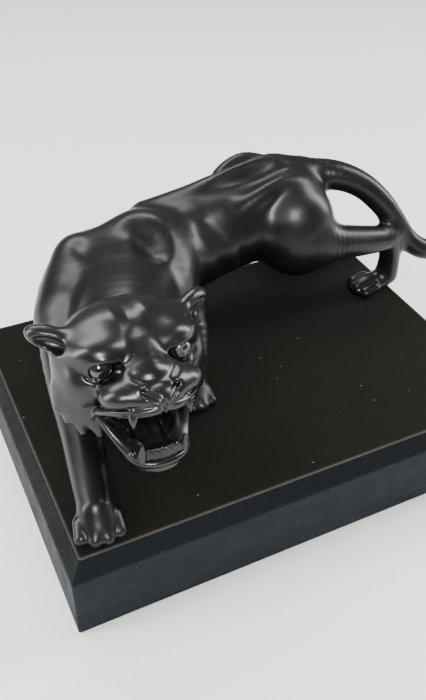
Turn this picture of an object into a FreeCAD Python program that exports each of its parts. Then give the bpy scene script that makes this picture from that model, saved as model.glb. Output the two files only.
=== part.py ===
"""A figure lamp for the top of a television: a stalking black panther on a cloth-covered plinth.

The figure is a set of hollow and solid castings glued up into one animal. A small candelabra lamp stands
inside the chest on a threaded pipe and shines through the throat, so that the mouth and the eyes glow.
The pipe, the paw screws, the rotary switch and the cord bushing are all held by the wooden plinth.

Frame: +Z up, origin at the middle of the felt that the plinth stands on. The long side of the plinth runs
along X, the head faces -Y and the tail leaves over the +X end. All sizes are in millimetres.
"""

import FreeCAD, Part  # noqa: E401
import math
import os

import Sketcher
from FreeCAD import Placement, Rotation, Vector

doc = FreeCAD.newDocument("PantherLamp")

# ----------------------------------------------------------------------------------- driving sizes

SIZES = {
    # plinth
    "plinth_length": 279.4,
    "plinth_depth": 203.2,
    "plinth_height": 50.8,
    "bevel_inset": 6.4,
    "bevel_drop": 8.6,
    "felt_thick": 1.6,
    "felt_inset": 1.0,
    "panel_thick": 1.0,
    "cloth_thick": 0.6,
    "deck_thick": 12.0,
    "rail_thick": 12.0,
    "cover_thick": 3.2,
    "cover_gap": 0.4,
    "batten_width": 12.0,
    "batten_height": 10.0,
    "batten_length": 180.0,
    # fixings
    "wood_screw_head": 7.0,
    "wood_screw_shank": 3.2,
    "wood_screw_long": 11.0,
    "paw_screw_shank": 4.0,
    "paw_screw_head": 8.0,
    "paw_screw_head_thick": 2.8,
    "paw_screw_long": 22.0,
    "paw_washer_width": 11.0,
    "paw_washer_thick": 0.9,
    "insert_width": 6.4,
    "insert_long": 9.5,
    # lamp
    "pipe_width": 9.8,
    "pipe_bore": 7.0,
    "pipe_below_deck": 9.0,
    "pipe_above_panel": 31.5,
    "pipe_x": -46.0,
    "pipe_y": 52.0,
    "pipe_hole": 10.4,
    "nut_across": 14.0,
    "nut_thick": 3.5,
    "pipe_washer_width": 19.0,
    "pipe_washer_thick": 1.2,
    "bracket_width": 10.0,
    "bracket_thick": 1.5,
    "bracket_foot": 23.0,
    "bracket_rise": 23.0,
    "socket_width": 20.0,
    "socket_long": 26.0,
    "socket_cavity": 14.4,
    "socket_cavity_deep": 19.0,
    "shell_outer": 13.6,
    "shell_inner": 12.2,
    "shell_long": 13.0,
    "bulb_cap_width": 11.9,
    "bulb_cap_long": 15.0,
    "bulb_width": 21.0,
    "bulb_long": 31.0,
    "bulb_neck": 10.8,
    "glass_wall": 0.7,
    "lead_width": 2.2,
    # switch and cord bushing
    "switch_x": -78.0,
    "switch_height": 25.0,
    "switch_body_width": 19.0,
    "switch_body_long": 15.0,
    "switch_thread": 9.6,
    "switch_nut_across": 13.0,
    "switch_nut_thick": 2.4,
    "shaft_width": 5.0,
    "knob_width": 17.0,
    "knob_long": 12.0,
    "knob_flutes": 12.0,
    "bushing_x": -28.0,
    "bushing_height": 22.0,
    "bushing_flange": 17.0,
    "bushing_flange_thick": 2.6,
    "bushing_barrel": 11.0,
    "bushing_bore": 7.0,
    # figure
    "casting_wall": 4.5,
    "eye_width": 11.0,
    "eye_socket": 11.3,
}

sheet = doc.addObject("Spreadsheet::Sheet", "Sizes")
for row, (alias, value) in enumerate(SIZES.items(), start=1):
    sheet.set(f"A{row}", alias.replace("_", " "))
    sheet.set(f"B{row}", str(value))
    sheet.setAlias(f"B{row}", alias)
doc.recompute()


def size(alias):
    """The value that the sheet holds under this alias."""
    return float(sheet.get(alias))


TOP = size("plinth_height")
NODES = []


def node(piece, name):
    """Marks a finished document object as the sub-part of that name."""
    piece.Label = name
    NODES.append(piece)
    return piece


def bind(piece, **cells):
    """Binds properties of a piece to formulas over the sheet: a bare alias or an expression of aliases."""
    for prop, formula in cells.items():
        piece.setExpression(prop.replace("__", "."), formula)
    return piece


def cell(formula):
    """Writes an expression over aliases as one over the sheet's cells."""
    out, word = "", ""
    for ch in formula + " ":
        if ch.isalnum() or ch == "_":
            word += ch
            continue
        out += f"Sizes.{word}" if word in SIZES else word
        out, word = out + ch, ""
    return out.strip()


def place(piece, at, axis=(0, 0, 1)):
    """Puts a primitive's origin at a point, with its own Z along an axis."""
    piece.Placement = Placement(Vector(*at), Rotation(Vector(0, 0, 1), Vector(*axis)))
    return piece


# --------------------------------------------------------------------------- parametric primitives

def cylinder(name, width, length, at, axis=(0, 0, 1)):
    """A cylinder of a bound diameter and length, standing on a point."""
    piece = doc.addObject("Part::Cylinder", name)
    bind(piece, Radius=cell(f"({width}) / 2"), Height=cell(length))
    return place(piece, at, axis)


def cone(name, width_1, width_2, length, at, axis=(0, 0, 1)):
    """A cone frustum of two bound diameters."""
    piece = doc.addObject("Part::Cone", name)
    bind(piece, Radius1=cell(f"({width_1}) / 2"), Radius2=cell(f"({width_2}) / 2"), Height=cell(length))
    return place(piece, at, axis)


def block(name, length, width, height, at, turn=0.0):
    """A box of bound sides, centred on a point in plan, turned about Z."""
    piece = doc.addObject("Part::Box", name)
    bind(piece, Length=cell(length), Width=cell(width), Height=cell(height))
    doc.recompute([piece])
    half = Vector(-float(piece.Length) / 2, -float(piece.Width) / 2, 0)
    spin = Rotation(Vector(0, 0, 1), turn)
    piece.Placement = Placement(Vector(*at) + spin.multVec(half), spin)
    return piece


def hexagon(name, across, length, at, axis=(0, 0, 1)):
    """A hexagonal prism of a bound width across its flats."""
    piece = doc.addObject("Part::Prism", name)
    piece.Polygon = 6
    bind(piece, Circumradius=cell(f"({across}) / 1.7320508"), Height=cell(length))
    return place(piece, at, axis)


def ellipsoid(name, centre, radii, spin=Rotation()):
    """An ellipsoid of fixed radii along its own X, Y and Z."""
    piece = doc.addObject("Part::Ellipsoid", name)
    piece.Radius2, piece.Radius3, piece.Radius1 = radii
    piece.Angle3 = 360
    piece.Placement = Placement(Vector(*centre), spin)
    return piece


def cut(name, base, tool):
    piece = doc.addObject("Part::Cut", name)
    piece.Base, piece.Tool = base, tool
    return piece


def fuse(name, *shapes):
    piece = doc.addObject("Part::MultiFuse", name)
    piece.Shapes = list(shapes)
    return piece


def group(name, pieces):
    """Like pieces kept apart as several solids of one sub-part."""
    doc.recompute()
    piece = doc.addObject("Part::Feature", name)
    piece.Shape = Part.makeCompound([solid for p in pieces for solid in p.Shape.Solids])
    return piece


def solid(name, shape):
    """A sub-part whose shape is made with Part's own functions."""
    piece = doc.addObject("Part::Feature", name)
    piece.Shape = shape
    return piece


# ------------------------------------------------------------------------------- sketches and pads

def origin_plane(body, role):
    return next(f for f in body.Origin.OriginFeatures if f.Role == role)


def rectangle(body, name, length, depth, height):
    """A centred rectangle, bound to the sheet, on a level plane of a body."""
    sketch = body.newObject("Sketcher::SketchObject", name)
    sketch.AttachmentSupport = [(origin_plane(body, "XY_Plane"), "")]
    sketch.MapMode = "FlatFace"
    sketch.setExpression("AttachmentOffset.Base.z", cell(height))
    x, y = 10.0, 8.0
    corners = [Vector(-x, -y, 0), Vector(x, -y, 0), Vector(x, y, 0), Vector(-x, y, 0)]
    for start, end in zip(corners, corners[1:] + corners[:1]):
        sketch.addGeometry(Part.LineSegment(start, end), False)
    for side in range(4):
        sketch.addConstraint(Sketcher.Constraint("Coincident", side, 2, (side + 1) % 4, 1))
        sketch.addConstraint(Sketcher.Constraint("Vertical" if side % 2 else "Horizontal", side))
    sketch.addConstraint(Sketcher.Constraint("Symmetric", 0, 1, 2, 1, -1, 1))
    wide = sketch.addConstraint(Sketcher.Constraint("DistanceX", 0, 1, 0, 2, 2 * x))
    deep = sketch.addConstraint(Sketcher.Constraint("DistanceY", 1, 1, 1, 2, 2 * y))
    sketch.renameConstraint(wide, "wide")
    sketch.renameConstraint(deep, "deep")
    sketch.setExpression("Constraints.wide", cell(length))
    sketch.setExpression("Constraints.deep", cell(depth))
    return sketch


def slab(name, length, depth, bottom, thick):
    """A plain rectangular board as a padded sketch."""
    body = doc.addObject("PartDesign::Body", name)
    pad = body.newObject("PartDesign::Pad", name + "_pad")
    pad.Profile = rectangle(body, name + "_outline", length, depth, bottom)
    pad.setExpression("Length", cell(thick))
    return body


def bevelled(name, inset, bottom):
    """The plinth's outline drawn in by an inset: upright sides, then the bevel up to the deck."""
    body = doc.addObject("PartDesign::Body", name)
    long_side = f"plinth_length - 2 * {inset}"
    short_side = f"plinth_depth - 2 * {inset}"
    brow = "plinth_height - bevel_drop"
    top = "plinth_height - panel_thick"
    pad = body.newObject("PartDesign::Pad", name + "_sides")
    pad.Profile = rectangle(body, name + "_foot", long_side, short_side, bottom)
    pad.setExpression("Length", cell(f"{brow} - ({bottom})"))
    loft = body.newObject("PartDesign::AdditiveLoft", name + "_bevel")
    loft.Profile = rectangle(body, name + "_brow", long_side, short_side, brow)
    narrow = "- 2 * bevel_inset"
    crest = rectangle(body, name + "_crest", f"{long_side} {narrow}", f"{short_side} {narrow}", top)
    loft.Sections = [crest]
    loft.Ruled = True
    body.Tip = loft
    return body


# -------------------------------------------------------------------------------- organic sections

def ring(centre, normal, half_width, half_height, lean=0.0):
    """A closed, smooth oval wire round a centre, square to a normal; lean turns it about the normal."""
    n = Vector(*normal).normalize()
    side = n.cross(Vector(0, 0, 1)).normalize()
    rise = side.cross(n).normalize()
    points = []
    for step in range(12):
        t = math.radians(30 * step + lean)
        across, up = half_width * math.cos(t), half_height * math.sin(t)
        points.append(Vector(*centre) + side * across + rise * up)
    curve = Part.BSplineCurve()
    curve.interpolate(points, PeriodicFlag=True)
    return Part.Wire([curve.toShape()])


def hull_loft(stations):
    """A smooth closed loft through (centre, normal, half width, half height) stations."""
    return Part.makeLoft([ring(*station) for station in stations], True, False)


def limb(points):
    """A limb through (centre, radius) stations, each ring square to the way the limb runs there."""
    stations = []
    for i, (centre, radius) in enumerate(points):
        ahead = Vector(*points[min(i + 1, len(points) - 1)][0])
        behind = Vector(*points[max(i - 1, 0)][0])
        stations.append((centre, tuple(ahead - behind), radius, radius))
    return hull_loft(stations)


def above_panel(shape):
    """The part of a shape that is above the panel the figure stands on."""
    span = size("plinth_length") * 2
    return shape.cut(Part.makeBox(span, span, span, Vector(-span / 2, -span / 2, TOP - span)))


def raised(x, y, height):
    """A point given by its height above the panel."""
    return (x, y, TOP + height)


# -------------------------------------------------------------------------------------- the plinth

def plinth():
    """Felt, cover, battens, mitred rails, deck, cloth covering and top panel."""
    deck_foot = "plinth_height - panel_thick - deck_thick"
    rail_height = f"{deck_foot} - felt_thick"
    inner_long = "plinth_length - 2 * cloth_thick - 2 * rail_thick"
    inner_deep = "plinth_depth - 2 * cloth_thick - 2 * rail_thick"
    felt_long = "plinth_length - 2 * felt_inset"
    felt_deep = "plinth_depth - 2 * felt_inset"
    felt = slab("felt_sheet", felt_long, felt_deep, "0", "felt_thick")
    node(felt, "base_felt")

    back = size("plinth_depth") / 2 - size("cloth_thick")
    end = size("plinth_length") / 2 - size("cloth_thick")
    rails = {}
    for name, side, turn, at in (
        ("front_rail", "plinth_length", 0, (0, -back)),
        ("right_rail", "plinth_depth", 90, (end, 0)),
        ("back_rail", "plinth_length", 180, (0, back)),
        ("left_rail", "plinth_depth", 270, (-end, 0)),
    ):
        rail = doc.addObject("Part::Wedge", name + "_mitred")
        half = f"({side} - 2 * cloth_thick) / 2"
        bind(
            rail,
            Xmin=cell(f"-{half}"),
            Xmax=cell(half),
            X2min=cell(f"-{half} + rail_thick"),
            X2max=cell(f"{half} - rail_thick"),
            Ymin="0",
            Ymax=cell("rail_thick"),
            Zmin="0",
            Z2min="0",
            Zmax=cell(rail_height),
            Z2max=cell(rail_height),
        )
        corner = Vector(at[0], at[1], size("felt_thick"))
        rail.Placement = Placement(corner, Rotation(Vector(0, 0, 1), turn))
        rails[name] = rail
    for name in ("front_rail", "right_rail", "left_rail"):
        node(rails[name], name)

    inner_back = back - size("rail_thick")
    out = (0, 1, 0)
    holes = fuse(
        "back_rail_holes",
        cylinder("switch_hole", "switch_thread", "3 * rail_thick",
                 (size("switch_x"), inner_back - size("rail_thick"), size("switch_height")), out),
        cylinder("bushing_hole", "bushing_barrel", "3 * rail_thick",
                 (size("bushing_x"), inner_back - size("rail_thick"), size("bushing_height")), out),
    )
    node(cut("back_rail_drilled", rails["back_rail"], holes), "back_rail")

    screw_xs = (-75.0, 0.0, 75.0)
    batten_y = inner_back - size("batten_width") / 2
    head = size("felt_thick")
    shanks, screws = [], []
    for side in (-1, 1):
        for x in screw_xs:
            at = (x, side * batten_y, head)
            tag = f"{'front' if side < 0 else 'back'}_{int(x)}".replace("-", "m")
            shape = [
                cone(f"screw_{k}_{tag}", "wood_screw_head", "wood_screw_shank", "cover_thick * 0.6", at)
                for k in ("head", "sink")
            ]
            stem = [
                cylinder(f"screw_{k}_{tag}", "wood_screw_shank", "wood_screw_long", at)
                for k in ("shank", "pilot")
            ]
            screws.append(fuse(f"screw_{tag}", shape[0], stem[0]))
            shanks.append(fuse(f"screw_way_{tag}", shape[1], stem[1]))
    node(group("cover_screw_set", screws), "cover_screws")
    ways = group("screw_ways", shanks)
    board = slab("cover_board", f"{inner_long} - 2 * cover_gap", f"{inner_deep} - 2 * cover_gap",
                 "felt_thick", "cover_thick")
    node(cut("cover_drilled", board, ways), "bottom_cover")
    for side, name in ((-1, "front_batten"), (1, "back_batten")):
        stick = block(name + "_stick", "batten_length", "batten_width", "batten_height",
                      (0, side * batten_y, size("felt_thick") + size("cover_thick")))
        node(cut(name + "_drilled", stick, ways), name)

    drill_foot = TOP - 1.5 * size("deck_thick")
    drills = [
        cylinder(f"deck_drill_{i}", "paw_screw_shank", "2 * deck_thick", (x, y, drill_foot))
        for i, (x, y) in enumerate(PAW_SCREWS.values())
    ]
    drills.append(cylinder("pipe_drill", "pipe_hole", "2 * deck_thick",
                           (size("pipe_x"), size("pipe_y"), TOP - 1.5 * size("deck_thick"))))
    drilling = group("drilling", drills)
    node(cut("deck_drilled", bevelled("deck_board", "cloth_thick", deck_foot), drilling), "deck")
    panel = slab("panel_sheet", "plinth_length - 2 * bevel_inset", "plinth_depth - 2 * bevel_inset",
                 "plinth_height - panel_thick", "panel_thick")
    node(cut("panel_drilled", panel, drilling), "top_panel")

    cloth = cut("cloth_ring", bevelled("cloth_outside", "0", "felt_thick"),
                bevelled("cloth_inside", "cloth_thick", "felt_thick"))
    cloth_holes = fuse(
        "cloth_holes",
        cylinder("cloth_switch_hole", "switch_thread", "rail_thick",
                 (size("switch_x"), inner_back + size("rail_thick") / 2, size("switch_height")), out),
        cylinder("cloth_bushing_hole", "bushing_barrel", "rail_thick",
                 (size("bushing_x"), inner_back + size("rail_thick") / 2, size("bushing_height")), out),
    )
    node(cut("cloth_cut", cloth, cloth_holes), "side_covering")


# -------------------------------------------------------------------------------------- the figure

PAW_SCREWS = {
    "right_foreleg": (-117.5, -82.0),
    "left_foreleg": (-39.0, -20.0),
    "left_hind_leg": (115.0, 33.0),
    "right_hind_leg": (88.0, 82.0),
}

TRUNK = [  # centre x, y, height above the panel, half width, half height
    (-76, -18, 61, 27, 26),
    (-71, 2, 57, 31, 29),
    (-64, 24, 53, 37, 32),
    (-52, 42, 51, 41, 34),
    (-30, 55, 52, 38, 33),
    (-5, 62, 53, 32, 31),
    (20, 66, 55, 28, 28),
    (44, 68, 60, 33, 29),
    (62, 67, 62, 30, 28),
    (80, 66, 68, 17, 18),
    (88, 65, 70, 10, 11),
]


def trunk_stations(shrink=0.0, first=0, last=len(TRUNK)):
    """The trunk's rings, each drawn in by a wall thickness."""
    stations = []
    for i in range(first, last):
        ahead, behind = TRUNK[min(i + 1, len(TRUNK) - 1)], TRUNK[max(i - 1, 0)]
        normal = tuple(a - b for a, b in zip(ahead[:3], behind[:3]))
        x, y, height, half_width, half_height = TRUNK[i]
        stations.append((raised(x, y, height), normal, half_width - shrink, half_height - shrink))
    return stations


def trunk_outside():
    return hull_loft(trunk_stations())


def body_casting(outside):
    """The hollow trunk and neck, open at the neck, with a long opening in the chest's underside."""
    wall = size("casting_wall")
    stations = trunk_stations(wall, 0, 9)
    centre, normal, half_width, half_height = stations[0]
    mouth = tuple(c - n * 0.4 for c, n in zip(centre, normal))
    inside = hull_loft([(mouth, normal, half_width, half_height)] + stations)
    shell = outside.cut(inside)
    long_side, short_side = 66.0, 44.0
    slot = Part.makeBox(long_side, short_side, 40.0, Vector(-long_side / 2, -short_side / 2, 0))
    upright = [e for e in slot.Edges if abs(e.BoundBox.ZLength - 40.0) < 0.01]
    slot = slot.makeFillet(short_side / 2 - 1, upright)
    slot.Placement = Placement(Vector(-54, 30, TOP), Rotation(Vector(0, 0, 1), 68))
    return shell.cut(slot)


def castings(outside):
    """The four legs and the tail, each ending against the trunk."""
    right_fore = limb([
        (raised(-76, 46, 60), 12), (raised(-89, 34, 54), 18.5), (raised(-97, 14, 41), 18),
        (raised(-105, -14, 29), 14), (raised(-112, -52, 17), 10.5), (raised(-116, -74, 11), 9.5),
    ])
    left_fore = limb([
        (raised(-40, 44, 54), 12), (raised(-34, 30, 44), 18), (raised(-29, 16, 30), 14),
        (raised(-33, 0, 17), 10.5), (raised(-37, -14, 9), 8.5),
    ])
    left_hind = limb([
        (raised(62, 58, 60), 24), (raised(58, 44, 50), 19), (raised(68, 36, 44), 15.5),
        (raised(88, 34.5, 43), 12), (raised(110, 34, 41), 9.5), (raised(128, 34, 38), 8.5),
    ])
    right_hind = limb([
        (raised(50, 84, 60), 17), (raised(42, 90, 46), 16), (raised(45, 92, 34), 14),
        (raised(62, 91, 30), 11.5), (raised(84, 90, 30), 9.5), (raised(102, 88, 31), 8.5),
    ])
    shanks = {
        "left_hind_leg": limb([
            (raised(129, 33.5, 41), 8), (raised(131.5, 33, 22), 7.6), (raised(130, 33, 6), 8),
        ]),
        "right_hind_leg": limb([
            (raised(103, 88, 34), 8), (raised(105, 87, 20), 7.6), (raised(103, 86, 6), 8),
        ]),
    }
    paws = {  # centre, half length, half width, half height, direction
        "right_foreleg": (raised(-118, -82, 8), 17, 11.5, 10, 80),
        "left_foreleg": (raised(-39, -20, 8), 15, 10.5, 9, 85),
        "left_hind_leg": (raised(116, 33, 7), 19, 9.5, 9, 0),
        "right_hind_leg": (raised(90, 86, 7), 19, 9.5, 9, 0),
    }
    legs = {"right_foreleg": right_fore, "left_foreleg": left_fore,
            "left_hind_leg": left_hind, "right_hind_leg": right_hind}
    inserts, screws, washers = [], [], []
    for name, shape in legs.items():
        centre, half_long, half_wide, half_high, turn = paws[name]
        halves = (half_long, half_wide, half_high)
        paw = ellipsoid(name + "_paw", centre, halves, Rotation(Vector(0, 0, 1), turn))
        doc.recompute([paw])
        shape = shape.fuse([paw.Shape] + ([shanks[name]] if name in shanks else []))
        doc.removeObject(paw.Name)
        shape = above_panel(shape).cut(outside)
        x, y = PAW_SCREWS[name]
        insert = cylinder(name + "_insert_body", "insert_width", "insert_long", (x, y, TOP))
        bore = cylinder(name + "_insert_bore", "paw_screw_shank", "insert_long", (x, y, TOP))
        doc.recompute([insert])
        node(solid(name + "_casting", max(shape.cut(insert.Shape).Solids, key=lambda s: s.Volume)), name)
        inserts.append(cut(name + "_insert", insert, bore))
        under = TOP - size("panel_thick") - size("deck_thick")
        low = under - size("paw_washer_thick") - size("paw_screw_head_thick")
        head = cylinder(name + "_screw_head", "paw_screw_head", "paw_screw_head_thick", (x, y, low))
        slot = block(name + "_screw_slot", "paw_screw_head", "paw_screw_shank / 4",
                     "paw_screw_head_thick / 3", (x, y, low), 30)
        stem = cylinder(name + "_screw_stem", "paw_screw_shank", "paw_screw_long",
                        (x, y, low + size("paw_screw_head_thick") / 2))
        screws.append(cut(name + "_screw", fuse(name + "_screw_blank", head, stem), slot))
        disc = cylinder(name + "_washer_disc", "paw_washer_width", "paw_washer_thick",
                        (x, y, under - size("paw_washer_thick")))
        hole = cylinder(name + "_washer_hole", "paw_screw_shank", "paw_washer_thick",
                        (x, y, under - size("paw_washer_thick")))
        washers.append(cut(name + "_washer", disc, hole))
    node(group("insert_set", inserts), "paw_inserts")
    node(group("paw_screw_set", screws), "paw_screws")
    node(group("paw_washer_set", washers), "paw_washers")

    tail = limb([
        (raised(75, 68, 75), 13), (raised(88, 62.5, 80), 10.4), (raised(104, 54.5, 77), 9),
        (raised(118, 47.5, 68), 8.3), (raised(131, 41, 53), 7.8), (raised(141.5, 36, 37), 7.4),
        (raised(151, 31.5, 28.5), 7), (raised(164, 28, 23.5), 6.8), (raised(178, 30, 27), 6.3),
        (raised(187, 33, 36), 5.6), (raised(190, 35, 46), 4),
    ])
    hind = [n for n in NODES if n.Label == "left_hind_leg"][0]
    node(solid("tail_casting", max(tail.cut([outside, hind.Shape]).Solids, key=lambda s: s.Volume)), "tail")


HEAD_TURN = (
    Rotation(Vector(0, 0, 1), 2.8)
    .multiply(Rotation(Vector(1, 0, 0), -18.0))
    .multiply(Rotation(Vector(0, 1, 0), 3.4))
)
HEAD = Placement(Vector(*raised(-82.4, -40.4, 61.7)), HEAD_TURN)
# Head sizes are in the head's own frame: X to the animal's left, the face towards -Y, Z up.

SKULL = [  # y, z, half width, half height
    (28, 0, 25, 20),
    (18, 2, 31, 25),
    (8, 3, 35, 26),
    (-4, 2, 36, 24),
    (-12, 2, 32, 19),
    (-20, 0, 26, 13),
    (-29, -2.5, 20, 9.5),
    (-36, -3, 13, 7),
    (-40, -3, 7, 4.5),
]


def head_castings(outside):
    """The hollow head with its upper teeth and ears, the lower jaw, the tongue and the two glass eyes."""
    back = (0, 1, 0)
    wall = size("casting_wall")
    skull = hull_loft([((0, y, z), back, w, h) for y, z, w, h in reversed(SKULL)])
    hollow = hull_loft([((0, y, z), back, w - wall, h - wall) for y, z, w, h in reversed(SKULL[1:7])]
                       + [((0, 30, 0), back, 21, 17)])
    gape = Part.makePolygon([Vector(0, -60, -11), Vector(0, 4, -16), Vector(0, 4, -60), Vector(0, -60, -60),
                             Vector(0, -60, -11)])
    gape = Part.Face(gape).extrude(Vector(120, 0, 0))
    gape.translate(Vector(-60, 0, 0))
    skull = skull.cut(gape)
    for side in (-1, 1):
        ear = limb([((side * 27, 4, 17), 9), ((side * 35, 5, 21), 8), ((side * 44, 8, 25), 5.5),
                    ((side * 48, 9.5, 28), 2.2)])
        fang = Part.makeCone(2.8, 0.5, 10, Vector(side * 13, -32, -7), Vector(side * 0.1, -0.1, -1))
        skull = skull.fuse([ear, fang])
    for i in range(6):
        x = -7.5 + 3.0 * i
        skull = skull.fuse(Part.makeCone(1.4, 0.8, 5, Vector(x, -34.5, -8), Vector(0, 0, -1)))
    skull = skull.cut(hollow)

    eyes = []
    for side, name in ((-1, "right_eye"), (1, "left_eye")):
        look = Vector(side * 0.46, -0.88, 0.0).normalize()
        centre = Vector(side * 20.6, -13.4, 8.0)
        hole = Part.makeCylinder(size("eye_socket") / 2, 30, centre - look * 6, look)
        skull = skull.cut(hole)
        eyes.append((name, Part.makeSphere(size("eye_width") / 2, centre)))

    outer = hull_loft([
        ((0, 4, -22), (0, 3, 2), 24, 8), ((0, -9, -31), (0, 3, 2), 19, 8),
        ((0, -20, -38.5), (0, 3, 2), 15, 7.5), ((0, -30, -43), (0, 3, 2), 10, 5),
    ])
    trough = hull_loft([
        ((0, 14, -9), (0, 3, 2), 18, 11), ((0, -8, -26), (0, 3, 2), 14, 7),
        ((0, -24, -36.5), (0, 3, 2), 9.5, 5),
    ])
    jaw = outer.cut(trough)
    for side in (-1, 1):
        fang = Part.makeCone(2.5, 0.5, 10, Vector(side * 10.8, -26.5, -38), Vector(0, -0.45, 1))
        jaw = jaw.fuse(fang)
    jaw = max(jaw.cut([skull]).Solids, key=lambda s: s.Volume)
    tongue = hull_loft([
        ((0, 4, -20), (0, 3, 2), 9, 3), ((0, -10, -29), (0, 3, 2), 8.5, 2.6),
        ((0, -18, -34), (0, 3, 2), 6.5, 2.2), ((0, -22, -36.5), (0, 3, 2), 3.5, 1.5),
    ])
    tongue = max(tongue.cut([jaw, skull]).Solids, key=lambda s: s.Volume)

    foreleg = next(piece.Shape for piece in NODES if piece.Label == "right_foreleg")
    for name, shape in (("head_casting", skull), ("lower_jaw", jaw), ("tongue", tongue)):
        shape.Placement = HEAD.multiply(shape.Placement)
        if name != "tongue":
            shape = shape.cut([outside, foreleg])
        node(solid(name + "_shape", max(shape.Solids, key=lambda s: s.Volume)), name)
    for name, ball in eyes:
        ball.Placement = HEAD.multiply(ball.Placement)
        node(solid(name + "_glass", ball), name)


# ---------------------------------------------------------------------------------------- the lamp

LAMP_YAW = -109.8
LAMP_PITCH = 11.8


def lamp_frame():
    """The frame of the socket: X along the lamp, from the bracket towards the throat."""
    foot = Placement(
        Vector(size("pipe_x"), size("pipe_y"), TOP + 26.0), Rotation(Vector(0, 0, 1), LAMP_YAW)
    )
    tilt = Placement(Vector(size("bracket_foot") / 2, 0, 0), Rotation(Vector(0, 1, 0), -LAMP_PITCH))
    return foot, foot.multiply(tilt)


def lamp():
    """The threaded pipe with its nuts, the bracket, the socket, the bulb and the leads."""
    x, y = size("pipe_x"), size("pipe_y")
    deck_foot = TOP - size("panel_thick") - size("deck_thick")
    low = deck_foot - size("pipe_below_deck")
    pipe_long = "panel_thick + deck_thick + pipe_below_deck + pipe_above_panel"
    pipe = cut("pipe_tube", cylinder("pipe_rod", "pipe_width", pipe_long, (x, y, low)),
               cylinder("pipe_way", "pipe_bore", pipe_long, (x, y, low)))
    node(pipe, "lamp_pipe")

    nut, washer = size("nut_thick"), size("pipe_washer_thick")
    foot, frame = lamp_frame()
    bracket_z = TOP + 26.0
    levels = {"deck_under": deck_foot - washer - nut, "deck_over": TOP + washer,
              "bracket_under": bracket_z - nut, "bracket_over": bracket_z + size("bracket_thick")}
    nuts = [cut(f"nut_{k}", hexagon(f"nut_{k}_blank", "nut_across", "nut_thick", (x, y, z)),
                cylinder(f"nut_{k}_hole", "pipe_width", "nut_thick", (x, y, z))) for k, z in levels.items()]
    node(group("pipe_nut_set", nuts), "pipe_nuts")
    washers = []
    for k, z in (("under", deck_foot - washer), ("over", TOP)):
        disc = cylinder(f"pipe_washer_{k}_disc", "pipe_washer_width", "pipe_washer_thick", (x, y, z))
        hole = cylinder(f"pipe_washer_{k}_hole", "pipe_width", "pipe_washer_thick", (x, y, z))
        washers.append(cut(f"pipe_washer_{k}", disc, hole))
    node(group("pipe_washer_set", washers), "pipe_washers")

    thick, width, rise = size("bracket_thick"), size("bracket_width"), size("bracket_rise")
    half = size("bracket_foot") / 2
    leg = Part.makeBox(2 * half, width, thick, Vector(-half, -width / 2, 0))
    leg = leg.fuse(Part.makeCylinder(half * 0.9, thick))
    leg = leg.cut(Part.makeCylinder(size("pipe_width") / 2, thick))
    leg.Placement = foot
    upright = Part.makeBox(thick, width, rise, Vector(-thick, -width / 2, 0))
    axis_up = 15.0
    screw_way = Part.makeCylinder(1.6, 3 * thick, Vector(-2 * thick, 0, axis_up), Vector(1, 0, 0))
    upright = upright.cut(screw_way)
    upright.Placement = frame
    node(solid("bracket_strip", leg.fuse(upright).removeSplitter()), "socket_bracket")

    axis = frame.Rotation.multVec(Vector(1, 0, 0))
    seat = frame.multVec(Vector(0, 0, axis_up))

    def along(distance):
        return tuple(seat + axis * distance)

    way = tuple(axis)
    deep = size("socket_long") - size("socket_cavity_deep")
    blank = cylinder("socket_blank", "socket_width", "socket_long", along(0), way)
    cavity = cylinder("socket_cavity_bore", "socket_cavity", "socket_cavity_deep + 1", along(deep), way)
    socket = cut("socket_bored", blank, cavity)
    screw_hole = cylinder("socket_screw_hole", "3.0", "socket_long", along(-1), way)
    node(cut("socket_drilled", socket, screw_hole), "socket_body")
    screw = fuse("bracket_screw", cylinder("bracket_screw_head", "5.6", "2.0", along(-thick - 2.0), way),
                 cylinder("bracket_screw_stem", "3.0", "bracket_thick + 5.5", along(-thick), way))
    node(screw, "socket_screw")
    spring = deep + 1.2
    node(fuse("contact_strip", cylinder("contact_disc", "8.0", "0.8", along(deep), way),
              cylinder("contact_button", "3.6", "1.6", along(deep + 0.4), way)), "centre_contact")
    shell_at = size("socket_long") - size("shell_long") - 1.0
    node(cut("shell_tube", cylinder("shell_rod", "shell_outer", "shell_long", along(shell_at), way),
             cylinder("shell_way", "shell_inner", "shell_long", along(shell_at), way)), "socket_shell")

    tip = spring + 1.4
    node(cone("tip_contact", "3.2", "5.0", "1.6", along(tip), way), "bulb_tip_contact")
    cap_at = tip + 1.6
    cap = fuse("cap_blank", cone("cap_base", "7.0", "bulb_cap_width", "2.4", along(cap_at), way),
               cylinder("cap_wall", "bulb_cap_width", "bulb_cap_long - 2.4", along(cap_at + 2.4), way))
    cap_end = cap_at + size("bulb_cap_long")
    hollow = cylinder("cap_hollow_way", "bulb_neck", "bulb_cap_long - 3", along(cap_at + 3), way)
    node(cut("cap_hollow", cap, hollow), "bulb_cap")
    neck, wide, wall = size("bulb_neck") / 2 - 0.05, size("bulb_width") / 2, size("glass_wall")
    start = cap_at + 4.0
    long = size("bulb_long")

    def meridian(shrink):
        """The bulb's profile from its open neck to its nose, as distance along the lamp and radius."""
        curve = Part.BSplineCurve()
        belly = [(cap_end, neck), (cap_end + 0.2 * long, wide * 0.82), (cap_end + 0.45 * long, wide),
                 (cap_end + 0.8 * long, wide * 0.7), (cap_end + long, 0.0)]
        points = [Vector(d - (shrink if r == 0 else 0), max(r - shrink, 0), 0) for d, r in belly]
        curve.interpolate(points, InitialTangent=Vector(1, 0.2, 0), FinalTangent=Vector(0, -1, 0))
        stem = Part.LineSegment(Vector(start, neck - shrink, 0), points[0]).toShape()
        return stem, curve.toShape(), points[-1]

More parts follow.
